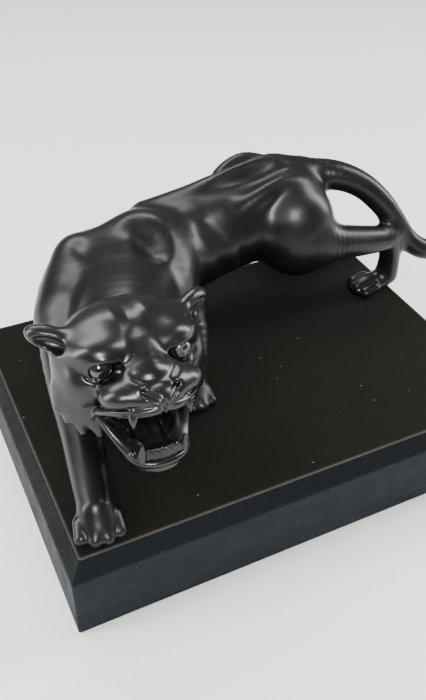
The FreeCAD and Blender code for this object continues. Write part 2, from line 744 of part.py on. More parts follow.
    neck_out, belly_out, nose_out = meridian(0)
    neck_in, belly_in, nose_in = meridian(wall)
    rim = Part.LineSegment(Vector(start, neck, 0), Vector(start, neck - wall, 0)).toShape()
    nose = Part.LineSegment(nose_out, nose_in).toShape()
    section = Part.Face(Part.Wire(Part.__sortEdges__([neck_out, belly_out, nose, belly_in, neck_in, rim])))
    envelope = section.revolve(Vector(0, 0, 0), Vector(1, 0, 0), 360)
    envelope.Placement = Placement(seat, frame.Rotation)
    node(solid("envelope", envelope), "bulb_glass")
    stem = fuse("stem_parts", cone("stem_cone", "8.4", "3.0", "12", along(start + wall), way),
                cylinder("stem_rod", "1.2", "16", along(start + 12), way),
                cylinder("filament_coil", "4.0", "1.0", along(start + 28), way))
    node(stem, "bulb_filament")
    return seat, axis, frame


def rounded_route(points, radius_share=0.45):
    """A path of straight runs joined by tangent arcs, each as large as its two runs allow."""
    points = [Vector(*p) for p in points]
    edges, at = [], points[0]
    for before, corner, after in zip(points, points[1:], points[2:]):
        inward, outward = (corner - before), (after - corner)
        turn = inward.getAngle(outward)
        reach = radius_share * min(inward.Length, outward.Length)
        start = corner - inward.normalize() * reach
        end = corner + outward.normalize() * reach
        to_middle = reach / math.tan(turn / 2) / math.cos(turn / 2) - reach / math.tan(turn / 2)
        bisector = ((start - corner) + (end - corner)).normalize()
        edges.append(Part.LineSegment(at, start).toShape())
        edges.append(Part.Arc(start, corner + bisector * to_middle, end).toShape())
        at = end
    edges.append(Part.LineSegment(at, points[-1]).toShape())
    return Part.Wire(edges)


def lead(name, points):
    """An insulated lead: a round tube along a rounded route."""
    route = rounded_route(points)
    start = route.Edges[0].firstVertex().Point
    way = Vector(*points[1]) - Vector(*points[0])
    disc = Part.Wire([Part.makeCircle(size("lead_width") / 2, start, way)])
    shape = route.makePipeShell([disc], True, True)
    expected = math.pi * (size("lead_width") / 2) ** 2 * route.Length
    print(f"{name}: {route.Length:.0f} mm long, volume {shape.Volume / expected:.3f} of the run's")
    node(solid(name + "_tube", shape), name)


def wiring(seat, axis, frame):
    """Leads from the socket through the pipe to the switch and the connectors."""
    x, y = size("pipe_x"), size("pipe_y")
    across = frame.Rotation.multVec(Vector(0, 1, 0))
    low = TOP - size("panel_thick") - size("deck_thick") - size("pipe_below_deck") - 6
    switch_end = (size("switch_x"), inner_back() - size("switch_body_long"), size("switch_height"))
    terminal = switch_end[0] + 4
    for side, name, ends in (
        (-1, "lead_to_switch", [(-62, 62, low - 4), (terminal, 62, 21), (terminal, switch_end[1], 25)]),
        (1, "lead_neutral", [(-30, 58, low - 6), (-16, 62, 13), (-10, 66, 11)]),
    ):
        shift = across * side
        start = seat + shift * 7.6 - axis * 1.6
        above = Vector(x, y, seat.z + 1.0) + shift * 1.6
        below = Vector(x, y, low + 1) + shift * 1.5
        lead(name, [tuple(start), tuple(above), tuple(below)] + ends)
    lead("lead_switch_feed", [(switch_end[0] - 4, switch_end[1], 25), (switch_end[0] - 4, 58, 20),
                              (-60, 48, 11), (-36, 56, 10), (-14, 60, 8), (-6, 58, 8)])
    nuts = [cone("connector_neutral", "7.0", "4.4", "13", (-10, 66, 11), (0.8, 0.6, 0)),
            cone("connector_feed", "7.0", "4.4", "13", (-6, 58, 8.5), (0.95, -0.3, 0))]
    node(group("connector_pair", nuts), "wire_connectors")


def inner_back():
    """The inside face of the back rail."""
    return size("plinth_depth") / 2 - size("cloth_thick") - size("rail_thick")


def switch_and_bushing():
    """The rotary switch with its knob, and the cord's bushing, in the back rail."""
    x, z = size("switch_x"), size("switch_height")
    inner, outer = inner_back(), size("plinth_depth") / 2
    out = (0, 1, 0)
    thread_long = "rail_thick + cloth_thick + switch_nut_thick + 1"
    body = fuse("switch_case_parts",
                cylinder("switch_case", "switch_body_width", "switch_body_long - 0.01",
                         (x, inner - size("switch_body_long"), z), out),
                cylinder("switch_case_ring", "switch_body_width - 3", "0.01", (x, inner - 0.01, z), out))
    shaft_fit = "shaft_width + 0.1"
    shaft_way = cylinder("switch_shaft_way", shaft_fit, "switch_body_long", (x, inner - 6, z), out)
    node(cut("switch_body_bored", body, shaft_way), "switch_body")
    sleeve = cut("switch_sleeve_bored",
                 cylinder("switch_sleeve", "switch_thread", thread_long, (x, inner, z), out),
                 cylinder("switch_sleeve_way", "shaft_width + 0.1", thread_long, (x, inner, z), out))
    node(sleeve, "switch_bushing")
    nut = cut("switch_nut_bored",
              hexagon("switch_nut_blank", "switch_nut_across", "switch_nut_thick", (x, outer, z), out),
              cylinder("switch_nut_way", "switch_thread", "switch_nut_thick", (x, outer, z), out))
    node(nut, "switch_nut")
    shaft_from = inner - 5.5
    knob_from = outer + size("switch_nut_thick") + 1.6
    knob_long = size("knob_long")
    shaft_long = str(knob_from + knob_long * 0.7 - shaft_from)
    shaft = cylinder("shaft_rod", "shaft_width", shaft_long, (x, shaft_from, z), out)
    node(shaft, "switch_shaft")

    body = doc.addObject("PartDesign::Body", "knob_body")
    sketch = body.newObject("Sketcher::SketchObject", "knob_outline")
    sketch.AttachmentSupport = [(origin_plane(body, "XY_Plane"), "")]
    sketch.MapMode = "FlatFace"
    sketch.addGeometry(Part.Circle(Vector(0, 0, 0), Vector(0, 0, 1), 8.0), False)
    sketch.addConstraint(Sketcher.Constraint("Coincident", 0, 3, -1, 1))
    wide = sketch.addConstraint(Sketcher.Constraint("Diameter", 0, 16.0))
    sketch.renameConstraint(wide, "wide")
    sketch.setExpression("Constraints.wide", cell("knob_width"))
    pad = body.newObject("PartDesign::Pad", "knob_pad")
    pad.Profile = sketch
    pad.setExpression("Length", cell("knob_long"))
    pad.TaperAngle = -4
    flute = body.newObject("Sketcher::SketchObject", "flute_outline")
    flute.AttachmentSupport = [(origin_plane(body, "XY_Plane"), "")]
    flute.MapMode = "FlatFace"
    flute.addGeometry(Part.Circle(Vector(8.8, 0, 0), Vector(0, 0, 1), 1.2), False)
    flute.addConstraint(Sketcher.Constraint("PointOnObject", 0, 3, -1))
    flute.addConstraint(Sketcher.Constraint("Diameter", 0, 2.4))
    out_by = flute.addConstraint(Sketcher.Constraint("DistanceX", -1, 1, 0, 3, 8.8))
    flute.renameConstraint(out_by, "out_by")
    flute.setExpression("Constraints.out_by", cell("knob_width / 2 + 0.4"))
    pocket = body.newObject("PartDesign::Pocket", "flute")
    pocket.Profile = flute
    pocket.Type = 1
    pocket.Reversed = True
    doc.recompute()
    ring_of = body.newObject("PartDesign::PolarPattern", "flutes")
    ring_of.Originals = [pocket]
    ring_of.Axis = (origin_plane(body, "Z_Axis"), [""])
    ring_of.Angle = 360
    ring_of.setExpression("Occurrences", cell("knob_flutes"))
    body.Tip = ring_of
    body.Placement = Placement(Vector(x, knob_from, z), Rotation(Vector(0, 0, 1), Vector(0, 1, 0)))
    bore = cylinder("knob_bore", "shaft_width", str(knob_long * 0.7), (x, knob_from, z), out)
    grub_y = knob_from + knob_long * 0.35
    grub_way = cylinder("grub_way", "2.6", "knob_width", (x, grub_y, z), (0, 0, 1))
    node(cut("knob_bored", body, fuse("knob_ways", bore, grub_way)), "switch_knob")
    grub = cylinder("grub_screw", "2.6", "4.4", (x, grub_y, z + size("shaft_width") / 2), (0, 0, 1))
    node(grub, "knob_grub_screw")

    bx, bz = size("bushing_x"), size("bushing_height")
    barrel_long = "rail_thick + cloth_thick + 3"
    parts = fuse("cord_bushing_blank",
                 cylinder("bushing_barrel_rod", "bushing_barrel", barrel_long, (bx, inner - 3, bz), out),
                 cone("bushing_flange_ring", "bushing_flange", "bushing_flange - 3", "bushing_flange_thick",
                      (bx, outer, bz), out),
                 cylinder("bushing_clip", "bushing_barrel + 2", "2.4", (bx, inner - 2.4, bz), out))
    way = cylinder("bushing_way", "bushing_bore", "rail_thick * 3", (bx, inner - 6, bz), out)
    node(cut("bushing_bored", parts, way), "cord_bushing")


# ---------------------------------------------------------------------------------------- assembly

def check_and_write():
    """Recomputes, stops on any failed or empty piece, and writes one STEP file for each sub-part."""
    doc.recompute()
    failed = [o.Name for o in doc.Objects if "Invalid" in o.State or "Error" in o.State]
    if failed:
        raise RuntimeError(f"these objects failed: {failed}")
    os.makedirs("parts", exist_ok=True)
    for piece in NODES:
        shape = piece.Shape
        if shape.isNull() or not shape.isValid() or shape.Volume <= 0:
            raise RuntimeError(f"{piece.Label} has no valid solid")
        shape.exportStep(os.path.join("parts", piece.Label + ".step"))
    print(f"{len(NODES)} sub-parts written")


plinth()
trunk = trunk_outside()
node(solid("body_shape", body_casting(trunk)), "body_casting")
castings(trunk)
head_castings(trunk)
wiring(*lamp())
switch_and_bushing()
check_and_write()
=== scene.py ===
"""Looks of a panther television lamp: a glazed figure on a cloth-covered plinth, round its fixed frame."""

import math

import bmesh
import bpy
import numpy as np
from mathutils import Matrix, Vector


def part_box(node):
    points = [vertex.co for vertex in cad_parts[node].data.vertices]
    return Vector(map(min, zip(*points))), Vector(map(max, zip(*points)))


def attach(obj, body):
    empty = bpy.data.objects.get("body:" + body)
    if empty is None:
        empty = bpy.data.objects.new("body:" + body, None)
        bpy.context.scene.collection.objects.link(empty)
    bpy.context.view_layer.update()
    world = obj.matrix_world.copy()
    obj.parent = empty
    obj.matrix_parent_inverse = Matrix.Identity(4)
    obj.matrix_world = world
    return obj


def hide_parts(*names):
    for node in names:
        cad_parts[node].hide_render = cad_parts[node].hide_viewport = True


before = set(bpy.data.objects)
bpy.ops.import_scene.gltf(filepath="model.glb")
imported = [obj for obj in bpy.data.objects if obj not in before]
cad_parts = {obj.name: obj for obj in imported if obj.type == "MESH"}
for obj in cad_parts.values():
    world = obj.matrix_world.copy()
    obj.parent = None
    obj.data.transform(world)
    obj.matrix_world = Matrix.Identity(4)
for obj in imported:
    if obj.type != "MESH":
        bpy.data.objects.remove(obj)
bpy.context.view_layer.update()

bl_info = {
    "name": "Panther television lamp",
    "version": (1, 0, 0),
    "blender": (4, 5, 0),
    "location": "View3D > Sidebar > Panther lamp",
    "description": "Models and finishes a panther figure lamp round its fixed frame",
    "category": "Add Mesh",
}

MM = 0.001
ROOT = "lamp"
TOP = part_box("top_panel")[1].z / MM  # height of the panel the animal stands on


# ---------------------------------------------------------------------------------- modelling clay

def turned(yaw=0.0, pitch=0.0, roll=0.0):
    """A rotation matrix: roll about X, then pitch about Y, then yaw about Z, in degrees."""
    y, p, r = np.radians([yaw, pitch, roll])
    about_z = np.array([[np.cos(y), -np.sin(y), 0], [np.sin(y), np.cos(y), 0], [0, 0, 1]])
    about_y = np.array([[np.cos(p), 0, np.sin(p)], [0, 1, 0], [-np.sin(p), 0, np.cos(p)]])
    about_x = np.array([[1, 0, 0], [0, np.cos(r), -np.sin(r)], [0, np.sin(r), np.cos(r)]])
    return about_z @ about_y @ about_x


def eased(points, parts=4):
    """A smooth curve through (x, y, z, radius) points."""
    points = np.array(points, float)
    if len(points) < 3:
        return points
    ends = np.vstack([2 * points[0] - points[1], points, 2 * points[-1] - points[-2]])
    curve = []
    for a, b, c, d in zip(ends, ends[1:], ends[2:], ends[3:]):
        for t in np.arange(parts) / parts:
            bend = (2 * a - 5 * b + 4 * c - d) * t ** 2 + (3 * b - a - 3 * c + d) * t ** 3
            curve.append(0.5 * (2 * b + (c - a) * t + bend))
    curve.append(points[-1])
    curve = np.array(curve)
    curve[:, 3] = np.maximum(curve[:, 3], points[:, 3].min())
    return curve


class Clay:
    """A lump of modelling clay: a signed distance field on a grid, worked by soft forms."""

    def __init__(self, low, high, step):
        self.low = np.array(low, float)
        self.step = float(step)
        self.count = np.ceil((np.array(high, float) - self.low) / step).astype(int) + 1
        self.depth = np.full(self.count, 30.0, np.float32)

    def window(self, low, high):
        """The slice of the grid inside a box, with the positions of its points."""
        first = np.clip(np.floor((low - self.low) / self.step).astype(int), 0, self.count)
        last = np.clip(np.ceil((high - self.low) / self.step).astype(int) + 1, 0, self.count)
        if np.any(last <= first):
            return None, None
        axes = [(self.low[i] + self.step * np.arange(first[i], last[i])).astype(np.float32) for i in range(3)]
        spot = np.stack(np.meshgrid(*axes, indexing="ij"), -1)
        return tuple(slice(first[i], last[i]) for i in range(3)), spot

    def work(self, form, soft, low, high, cutting=False):
        """Blends one form into the field, softly over a given width."""
        margin = soft * 1.2 + 3 * self.step
        where, spot = self.window(low - margin, high + margin)
        if where is None:
            return
        old, new = self.depth[where], form(spot).astype(np.float32)
        if cutting:
            mix = np.clip(0.5 - 0.5 * (old + new) / soft, 0, 1)
            self.depth[where] = old * (1 - mix) - new * mix + soft * mix * (1 - mix)
        else:
            mix = np.clip(0.5 + 0.5 * (old - new) / soft, 0, 1)
            self.depth[where] = old * (1 - mix) + new * mix - soft * mix * (1 - mix)

    def egg(self, centre, radii, turn=(0, 0, 0), soft=4.0, cutting=False):
        """Adds or cuts an ellipsoid."""
        centre, radii = np.array(centre, float), np.array(radii, float)
        spin = turned(*turn)

        def form(spot):
            local = ((spot - centre) @ spin) / radii
            near = np.sqrt((local * local).sum(-1)) + 1e-6
            steep = np.sqrt(((local / radii) ** 2).sum(-1)) + 1e-6
            return np.where(near < 1, (near - 1) * radii.min(), near * (near - 1) / steep)

        reach = np.sqrt((spin * spin) @ (radii * radii))
        self.work(form, soft, centre - reach, centre + reach, cutting)

    def chain(self, points, soft=4.0, cutting=False):
        """Adds or cuts one bent rod through (x, y, z, radius) points."""
        points = eased(points)

        def form(spot):
            nearest = None
            for start, end in zip(points, points[1:]):
                run = end[:3] - start[:3]
                along = np.clip(((spot - start[:3]) @ run) / (run @ run), 0, 1)
                away = spot - start[:3] - along[..., None] * run
                gap = np.sqrt((away * away).sum(-1)) - (start[3] + (end[3] - start[3]) * along)
                nearest = gap if nearest is None else np.minimum(nearest, gap)
            return nearest

        radii = points[:, 3:]
        self.work(form, soft, (points[:, :3] - radii).min(0), (points[:, :3] + radii).max(0), cutting)

    def sample(self, spots):
        """The field's value at any points, by trilinear blending."""
        local = (spots - self.low) / self.step
        cell = np.clip(np.floor(local).astype(int), 0, self.count - 2)
        part = local - cell
        total = 0.0
        for i in (0, 1):
            for j in (0, 1):
                for k in (0, 1):
                    share = (part[:, 0] if i else 1 - part[:, 0]) * (part[:, 1] if j else 1 - part[:, 1])
                    share = share * (part[:, 2] if k else 1 - part[:, 2])
                    total = total + share * self.depth[cell[:, 0] + i, cell[:, 1] + j, cell[:, 2] + k]
        return total

    def skin(self, rounds=2):
        """The surface as points and four-sided faces: one point in each cell that the surface crosses."""
        depth, count = self.depth, self.depth.shape
        corners = [(i, j, k) for i in (0, 1) for j in (0, 1) for k in (0, 1)]
        cubes = [depth[i:count[0] - 1 + i, j:count[1] - 1 + j, k:count[2] - 1 + k] for i, j, k in corners]
        inside = sum((cube < 0).astype(np.int8) for cube in cubes)
        crossed = (inside > 0) & (inside < 8)
        cells = np.argwhere(crossed)
        number = -np.ones(crossed.shape, np.int64)
        number[crossed] = np.arange(len(cells))
        values = np.stack([cube[crossed] for cube in cubes], -1)
        spots, weight = np.zeros((len(cells), 3)), np.zeros(len(cells))
        for a in range(8):
            for b in range(a + 1, 8):
                step = np.array(corners[b]) - np.array(corners[a])
                if np.abs(step).sum() != 1:
                    continue
                crosses = (values[:, a] < 0) != (values[:, b] < 0)
                share = np.where(crosses, values[:, a] / (values[:, a] - values[:, b] + 1e-12), 0)
                spots += np.where(crosses[:, None], np.array(corners[a]) + share[:, None] * step, 0)
                weight += crosses
        spots = self.low + (spots / weight[:, None] + cells) * self.step
        faces = []
        for axis in range(3):
            u, v = ((1, 2), (2, 0), (0, 1))[axis]
            before, after = [slice(1, -1)] * 3, [slice(1, -1)] * 3
            before[axis], after[axis] = slice(0, -1), slice(1, None)
            start = depth[tuple(before)] < 0
            edges = np.argwhere(start != (depth[tuple(after)] < 0))
            outward = start[tuple(edges.T)]
            offset = np.ones(3, int)
            offset[axis] = 0
            edges = edges + offset
            du, dv = np.eye(3, dtype=int)[u], np.eye(3, dtype=int)[v]
            quads = [number[tuple((edges - shift).T)] for shift in (du + dv, dv, 0 * du, du)]
            quads = np.stack(quads, -1)
            quads[~outward] = quads[~outward][:, ::-1]
            faces.append(quads)
        for _ in range(rounds):
            value = self.sample(spots)
            tilt = [self.sample(spots + axis * self.step) - self.sample(spots - axis * self.step)
                    for axis in np.eye(3)]
            slope = np.stack(tilt, -1) / (2 * self.step)
            steep = (slope * slope).sum(-1) + 1e-9
            spots = spots - np.clip(value / steep, -self.step, self.step)[:, None] * slope * 0.8
        return spots, np.concatenate(faces)


# ---------------------------------------------------------------------------------------- the head

HEAD_AT = np.array([-82.4, -40.4, 112.5])


def head_turn():
    """The head's attitude: nose raised, turned and leant a little."""
    return turned(yaw=2.8) @ turned(roll=-18.0) @ turned(pitch=3.4)


def head_to_lamp(spots):
    """Carries points from the head's own frame (X to its left, face towards -Y) to the lamp's frame."""
    return spots @ head_turn().T + HEAD_AT


def mirror(side):
    """A function that carries a point, or a run of points, to one side of the face."""
    def carry(*points):
        moved = [(point[0] * side, *point[1:]) for point in points]
        return moved if len(moved) > 1 else moved[0]
    return carry


def model_head(step):
    """The head down to the upper lip, with ears, eye sockets and the roof of the mouth."""
    clay = Clay((-62, -54, -44), (62, 42, 48), step)
    clay.egg((0, 8, 4), (32, 28, 24))
    clay.egg((0, -8, 3), (22, 17, 14), soft=8)
    for side in (-1, 1):
        s = mirror(side)
        # cheek, temple, crown and brow
        clay.egg(s((23, 3, -6)), (17, 16, 16), soft=8)
        clay.egg(s((25, 3, 12)), (13, 13, 13), soft=9)
        clay.egg(s((9, 8, 19)), (14, 18, 10.5), soft=10)
        clay.egg(s((25, -7, 1)), (9, 8, 9), soft=8)
        clay.egg(s((18, -9, 14.5)), (14, 12, 8.6), (side * 26, side * -4, 0), soft=5)
        # whisker pad
        clay.egg(s((14, -24, -2.8)), (12, 11.5, 7.8), (side * 18, 0, 0), soft=3)
        clay.egg(s((8, -30, -3.2)), (8.5, 8, 6.6), soft=3)
    # valley between the brows
    clay.chain([(0, 12, 34.5, 3), (0, -6, 30.5, 3.4), (0, -16, 23.5, 2.6)], soft=6, cutting=True)
    # bridge of the nose, cut off in an edge over the leather
    clay.chain([(0, -12, 10.5, 9.4), (0, -22, 4.5, 9.2), (0, -28, -0.8, 8.0)], soft=4)
    clay.egg((0, -23.4, 6.8), (11.2, 9.6, 4.6), (0, 0, 14), soft=2)
    clay.egg((0, -34.8, -2.6), (8.6, 7.8, 5.4), (0, 0, 22), soft=0.8)
    clay.egg((0, -29, -6), (15, 10, 4.6), soft=3)
    # the roof of the mouth and the throat
    clay.egg((0, -19, -20), (16, 17, 9.5), soft=1.5, cutting=True)
    clay.egg((0, -4, -26), (17, 20, 12), soft=3, cutting=True)
    for side in (-1, 1):
        s = mirror(side)
        # snarling upper lip: a rolled edge with folds over it
        clay.chain(s((0.8, -38, -8.3, 1.8), (4, -38.2, -8.9, 2.2), (9, -36.6, -9.2, 2.4),
                     (14, -33.5, -9.5, 2.4), (18.5, -28.6, -9.8, 2.4), (22, -23, -10.4, 2.3),
                     (24.2, -17.5, -12, 2.1), (25, -12.5, -14, 1.8)), soft=1.6)
        clay.chain(s((3, -40.2, -6.0, 0.3), (8, -39.2, -6.4, 0.8), (13, -36.6, -6.6, 0.9),
                     (18, -31.5, -7, 0.9), (22, -25.5, -7.8, 0.8), (25, -19.5, -9.6, 0.4)), soft=1.2,
                     cutting=True)
        clay.chain(s((5, -40.7, -8.8, 0.3), (9, -39.3, -9.3, 0.5), (13, -36.8, -9.6, 0.5),
                     (17, -33, -9.9, 0.5), (21, -27.2, -10.3, 0.3)), soft=0.6, cutting=True)
        # eye socket under the brow, thin lids round the ball, and the tear line
        clay.egg(s((20, -18.5, 7.6)), (9.4, 6.4, 5.8), (side * 30, side * 8, 0), soft=1.2, cutting=True)
        clay.egg(s((12.6, -19, 5.4)), (4.5, 4, 3.4), (side * 30, 0, 0), soft=2.5, cutting=True)
        clay.egg(s((20.8, -12.8, 7.9)), (7.2, 6.6, 6.3), soft=1.0)
        clay.egg(s((20.9, -18.4, 8.0)), (6.4, 4.6, 4.0), (side * 30, side * 8, 0), soft=0.5, cutting=True)
        clay.chain(s((11.6, -18.0, 8.8, 0.6), (16, -20.4, 12.2, 1.0), (21, -19.8, 13.4, 1.1),
                     (26.5, -14.8, 11.6, 1.0), (30, -10, 7.5, 0.6)), soft=2.5)
        clay.chain(s((28.2, -11.5, 5.2, 0.5), (33, -6.5, 3.2, 0.6), (36, -2.5, 3.4, 0.3)), soft=1.2,
                   cutting=True)
        clay.chain(s((27.5, -14.0, 2.4, 0.8), (21.5, -18.8, 0.2, 1.2), (15.5, -21, 1.6, 0.9)), soft=2.2)
        # the snarl's fold from the inner eye to the nostril's wing, and the nostril
        clay.chain(s((9.8, -21.5, 6.6, 1.4), (12.2, -25.5, 4.4, 2.2), (12.4, -30, 2.6, 2.2),
                     (9.8, -34, 1.2, 1.6)), soft=3)
        clay.chain(s((3.6, -41.0, -2.6, 1.3), (6.2, -38.6, -0.9, 1.9), (9.0, -35.2, 0.4, 1.1)), soft=0.8,
                   cutting=True)
        # ear: a thick shell opened from the front
        clay.egg(s((36.5, 5, 21.2)), (12.5, 5.6, 6.0), (side * 22, side * -24, 0), soft=4)
        clay.egg(s((37.5, 0.2, 19.4)), (9.4, 4.4, 3.6), (side * 22, side * -22, 0), soft=1.5, cutting=True)
        # ruff under the cheek, in pointed locks
        for lock in (((33, 0, -12, 5.5), (36, -1, -19.5, 1.6)), ((29, -1, -16, 7), (30, -3.5, -27, 1.8)),
                     ((24, -6, -18, 6), (23.5, -9, -28, 1.8)), ((35, 2, -6, 5), (39.5, 1, -13, 1.4))):
            clay.chain(s(*lock), soft=5)
    clay.chain([(0, -42, -2, 0.3), (0, -41.4, -5, 0.6), (0, -39.6, -8.5, 0.7)], soft=0.8, cutting=True)
    # the throat, and room behind it for the bulb
    clay.chain([(0, -6, -18, 10), (8, 13, -6, 10.4), (16, 24, 1, 10.8), (19, 34, 2.5, 13), (20, 46, 2.5, 15)],
               soft=2, cutting=True)
    return clay


def model_upper_teeth(step):
    clay = Clay((-28, -44, -24), (28, -8, 0), step)
    for side in (-1, 1):
        s = mirror(side)
        clay.chain(s((13, -32.5, -8.5, 3.0), (14.2, -34, -12.5, 2.1), (14.6, -34.2, -17, 0.5)), soft=1)
        for x, y in ((1.5, -35.8), (4.4, -35.4), (7.4, -34.4)):
            clay.egg(s((x, y, -9.4)), (1.55, 1.5, 3.6), soft=0.3)
        for x, y, low in ((18.4, -26.5, -10.6), (20.6, -21.5, -11.2), (22, -16.5, -12)):
            clay.egg(s((x, y, low)), (1.8, 2.7, 3.4), soft=0.4)
    return clay


def model_jaw(step):
    """The lower jaw with the skin stretched to it from the corners of the mouth."""
    clay = Clay((-40, -50, -62), (40, 24, -6), step)
    for side in (-1, 1):
        s = mirror(side)
        clay.chain(s((19, 2, -17, 7), (14, -12, -29, 5.5), (9.5, -23, -38.5, 5.6), (3, -26, -41, 6.4)),
                   soft=4)
        clay.chain(s((25.2, -11.5, -14.5, 1.6), (21.5, -13.5, -22, 1.9), (17, -19, -31, 2.2),
                     (13, -25.5, -37, 2.3)), soft=3)
    clay.egg((0, -25.5, -40.5), (12.8, 7.6, 5.8), soft=3)
    clay.egg((0, -22.5, -44.5), (10.2, 7.4, 4.8), soft=2)
    clay.egg((0, -8, -34), (13, 16, 7), (0, 0, -34), soft=5)
    # the floor of the mouth
    clay.egg((0, -13, -28), (12.5, 19, 9.5), (0, 0, -38), soft=1.5, cutting=True)
    clay.egg((0, 2, -18), (20, 18, 12), soft=3, cutting=True)
    # lower lip: a rim under the gums and a line above the chin
    rim = [(15.3, -22.5, -36.5, 1.4), (12.6, -28.6, -38.2, 1.8), (6.5, -32.2, -39.2, 1.9),
           (0, -33, -39.5, 1.9)]
    crease = [(16.4, -24, -40, 0.5), (12.5, -31.0, -41.8, 0.8), (6, -33.6, -42.4, 0.8),
              (0, -34.2, -42.6, 0.8)]
    rim += [(-x, y, z, r) for x, y, z, r in rim[-2::-1]]
    crease += [(-x, y, z, r) for x, y, z, r in crease[-2::-1]]
    clay.chain(rim, soft=1.2)
    clay.chain(crease, soft=1.2, cutting=True)
    return clay


def model_lower_teeth(step):
    clay = Clay((-26, -46, -46), (26, -6, -14), step)
    for side in (-1, 1):
        s = mirror(side)
        clay.chain(s((11.0, -29.4, -37, 2.6), (11.1, -31.4, -32.6, 1.8), (11.1, -33.6, -27.4, 0.5)), soft=1)
        for x, y in ((1.5, -31.9), (4.5, -31.5), (7.6, -30.6)):
            clay.chain(s((x - 0.7, y, -37, 1.3), (x - 0.5, y - 0.2, -32.9, 1.1), (x + 0.5, y, -32.9, 1.1),
                         (x + 0.7, y + 0.1, -37, 1.3)), soft=0.3)
        clay.egg(s((14.0, -24.6, -35.4)), (2.2, 3.2, 3.0), (0, 0, -30), soft=0.4)
    return clay


def model_tongue(step):
    clay = Clay((-20, -40, -54), (20, 16, -8), step)
    clay.egg((0, -9, -31.5), (8.4, 16, 3.6), (0, 0, 34), soft=3)
    clay.egg((0, -19.5, -37.2), (8.0, 5.4, 3.2), (0, 0, 20), soft=3)
    clay.egg((0, 4, -26), (9, 7, 6), soft=3)
    clay.chain([(0, 2, -21.5, 0.6), (0, -12, -30.2, 0.9), (0, -22, -34.6, 0.5)], soft=1.5, cutting=True)
    return clay


def model_eye(side, step):
    clay = Clay((side * 20.5 - 9, -24, -1), (side * 20.5 + 9, -4, 18), step)
    clay.egg((side * 20.6, -13.4, 8.0), (5.8, 5.8, 5.8))
    return clay


# ---------------------------------------------------------------------------------------- the body


LEGS = {  # runs of (x, y, height, radius) from the body to the foot
    "right_foreleg": [(-88, 36, 52, 19), (-98, 14, 40, 17), (-105, -10, 29, 13.5), (-110, -36, 22, 11),
                      (-115, -62, 16, 9.6), (-118, -78, 12, 8.6)],
    "left_foreleg": [(-38, 32, 46, 18), (-29, 17, 30, 14), (-30, 4, 19, 11), (-35, -8, 11, 9),
                     (-37, -14, 9, 8)],
    "left_hind_leg": [(64, 54, 58, 22), (60, 43, 45, 18.5), (73, 37.5, 45.5, 15), (88, 34.5, 45, 11.5),
                      (105, 34, 42, 10),
                      (120, 34, 39.5, 8.8), (128, 34, 38, 7.8), (131.5, 33.5, 24, 7), (131, 33, 10, 7.6)],
    "right_hind_leg": [(50, 84, 56, 18), (44, 90, 40, 14), (62, 91, 33, 11.5), (84, 90, 32, 9),
                       (103, 88, 31, 7.8),
                       (106, 87, 20, 7.2), (104, 86, 9, 7.6)],
}
PAWS = {  # heel, toe, half width, height
    "right_foreleg": ((-117, -72), (-120.5, -94), 11.5, 15),
    "left_foreleg": ((-38, -10), (-40, -31), 10.5, 13),
    "left_hind_leg": ((129, 33), (104, 33), 9.6, 13),
    "right_hind_leg": ((103, 86), (78, 86), 9.6, 13),
}
TAIL = [(70, 68, 74, 14), (84, 64.5, 79, 10.8), (98, 57.5, 79, 9.3), (112, 50.5, 73, 8.4), (124, 44.5, 62, 8),
        (133, 40, 50, 7.6), (141.5, 36, 37, 7.3), (148, 32.5, 30, 7.1), (156, 29, 25.5, 6.9),
        (167, 28, 23.5, 6.6),
        (179, 30.5, 27.5, 6.1), (188, 34, 37, 5.4)]


def shape_trunk(clay):
    """The neck, chest, trunk and haunches with their bone and muscle."""
    for centre, radii, yaw in (
        ((-61, 38, 47), (38, 34, 30), 60), ((-40, 51, 51), (38, 33, 31), 30),
        ((-5, 61, 54), (44, 30, 29), 10),
        ((30, 64, 57), (36, 27, 27), 0), ((58, 66, 60), (30, 28, 28), -8),
    ):
        clay.egg(centre, radii, (yaw, 0, 0), soft=10)
    clay.chain([(-58, 32, 50, 30), (-65, 12, 54, 29.4), (-72, -6, 58, 27.6), (-79, -22, 60, 25)], soft=14)
    # shoulder blades: a broad arch of bone on each side of the withers
    clay.chain([(-50, 56, 70, 10), (-40, 54, 74, 11), (-32, 44, 72, 12), (-31, 30, 62, 13),
                (-36, 20, 50, 14)], soft=12)
    clay.chain([(-70, 62, 65, 9), (-79, 57, 68, 10), (-85, 46, 65, 12), (-88, 32, 58, 14), (-90, 20, 48, 15)],
               soft=12)
    clay.chain([(-48, 41, 89, 5), (-44, 32, 85, 7.5), (-43, 25, 81, 5.5)], soft=10, cutting=True)
    clay.egg((-78, 42, 85), (5, 10, 7), (10, 0, 0), soft=8, cutting=True)
    clay.egg((-62, 44, 92), (7, 13, 8), (10, 0, 0), soft=12, cutting=True)
    # spine, and the points of the hips with the hollows between
    clay.chain([(-30, 70, 76, 6), (-5, 72, 78, 6), (18, 73, 83, 6), (38, 74, 87, 6), (56, 73, 87, 8),
                (72, 69, 80, 11)], soft=9)
    clay.chain([(20, 50, 74, 3), (34, 50, 80, 5), (50, 52, 84, 6), (64, 53, 82, 8), (72, 54, 76, 9)], soft=7)
    clay.chain([(22, 88, 72, 4), (34, 91, 79, 6), (48, 92, 82, 7), (62, 88, 78, 8)], soft=8)
    clay.egg((34, 62, 93), (19, 5, 7), (4, 0, 0), soft=8, cutting=True)
    clay.egg((36, 84, 95), (19, 4, 7), (4, 0, 0), soft=8, cutting=True)
    # the tucked waist
    clay.egg((16, 30, 36), (26, 12, 14), (10, 0, 0), soft=12, cutting=True)
    return clay


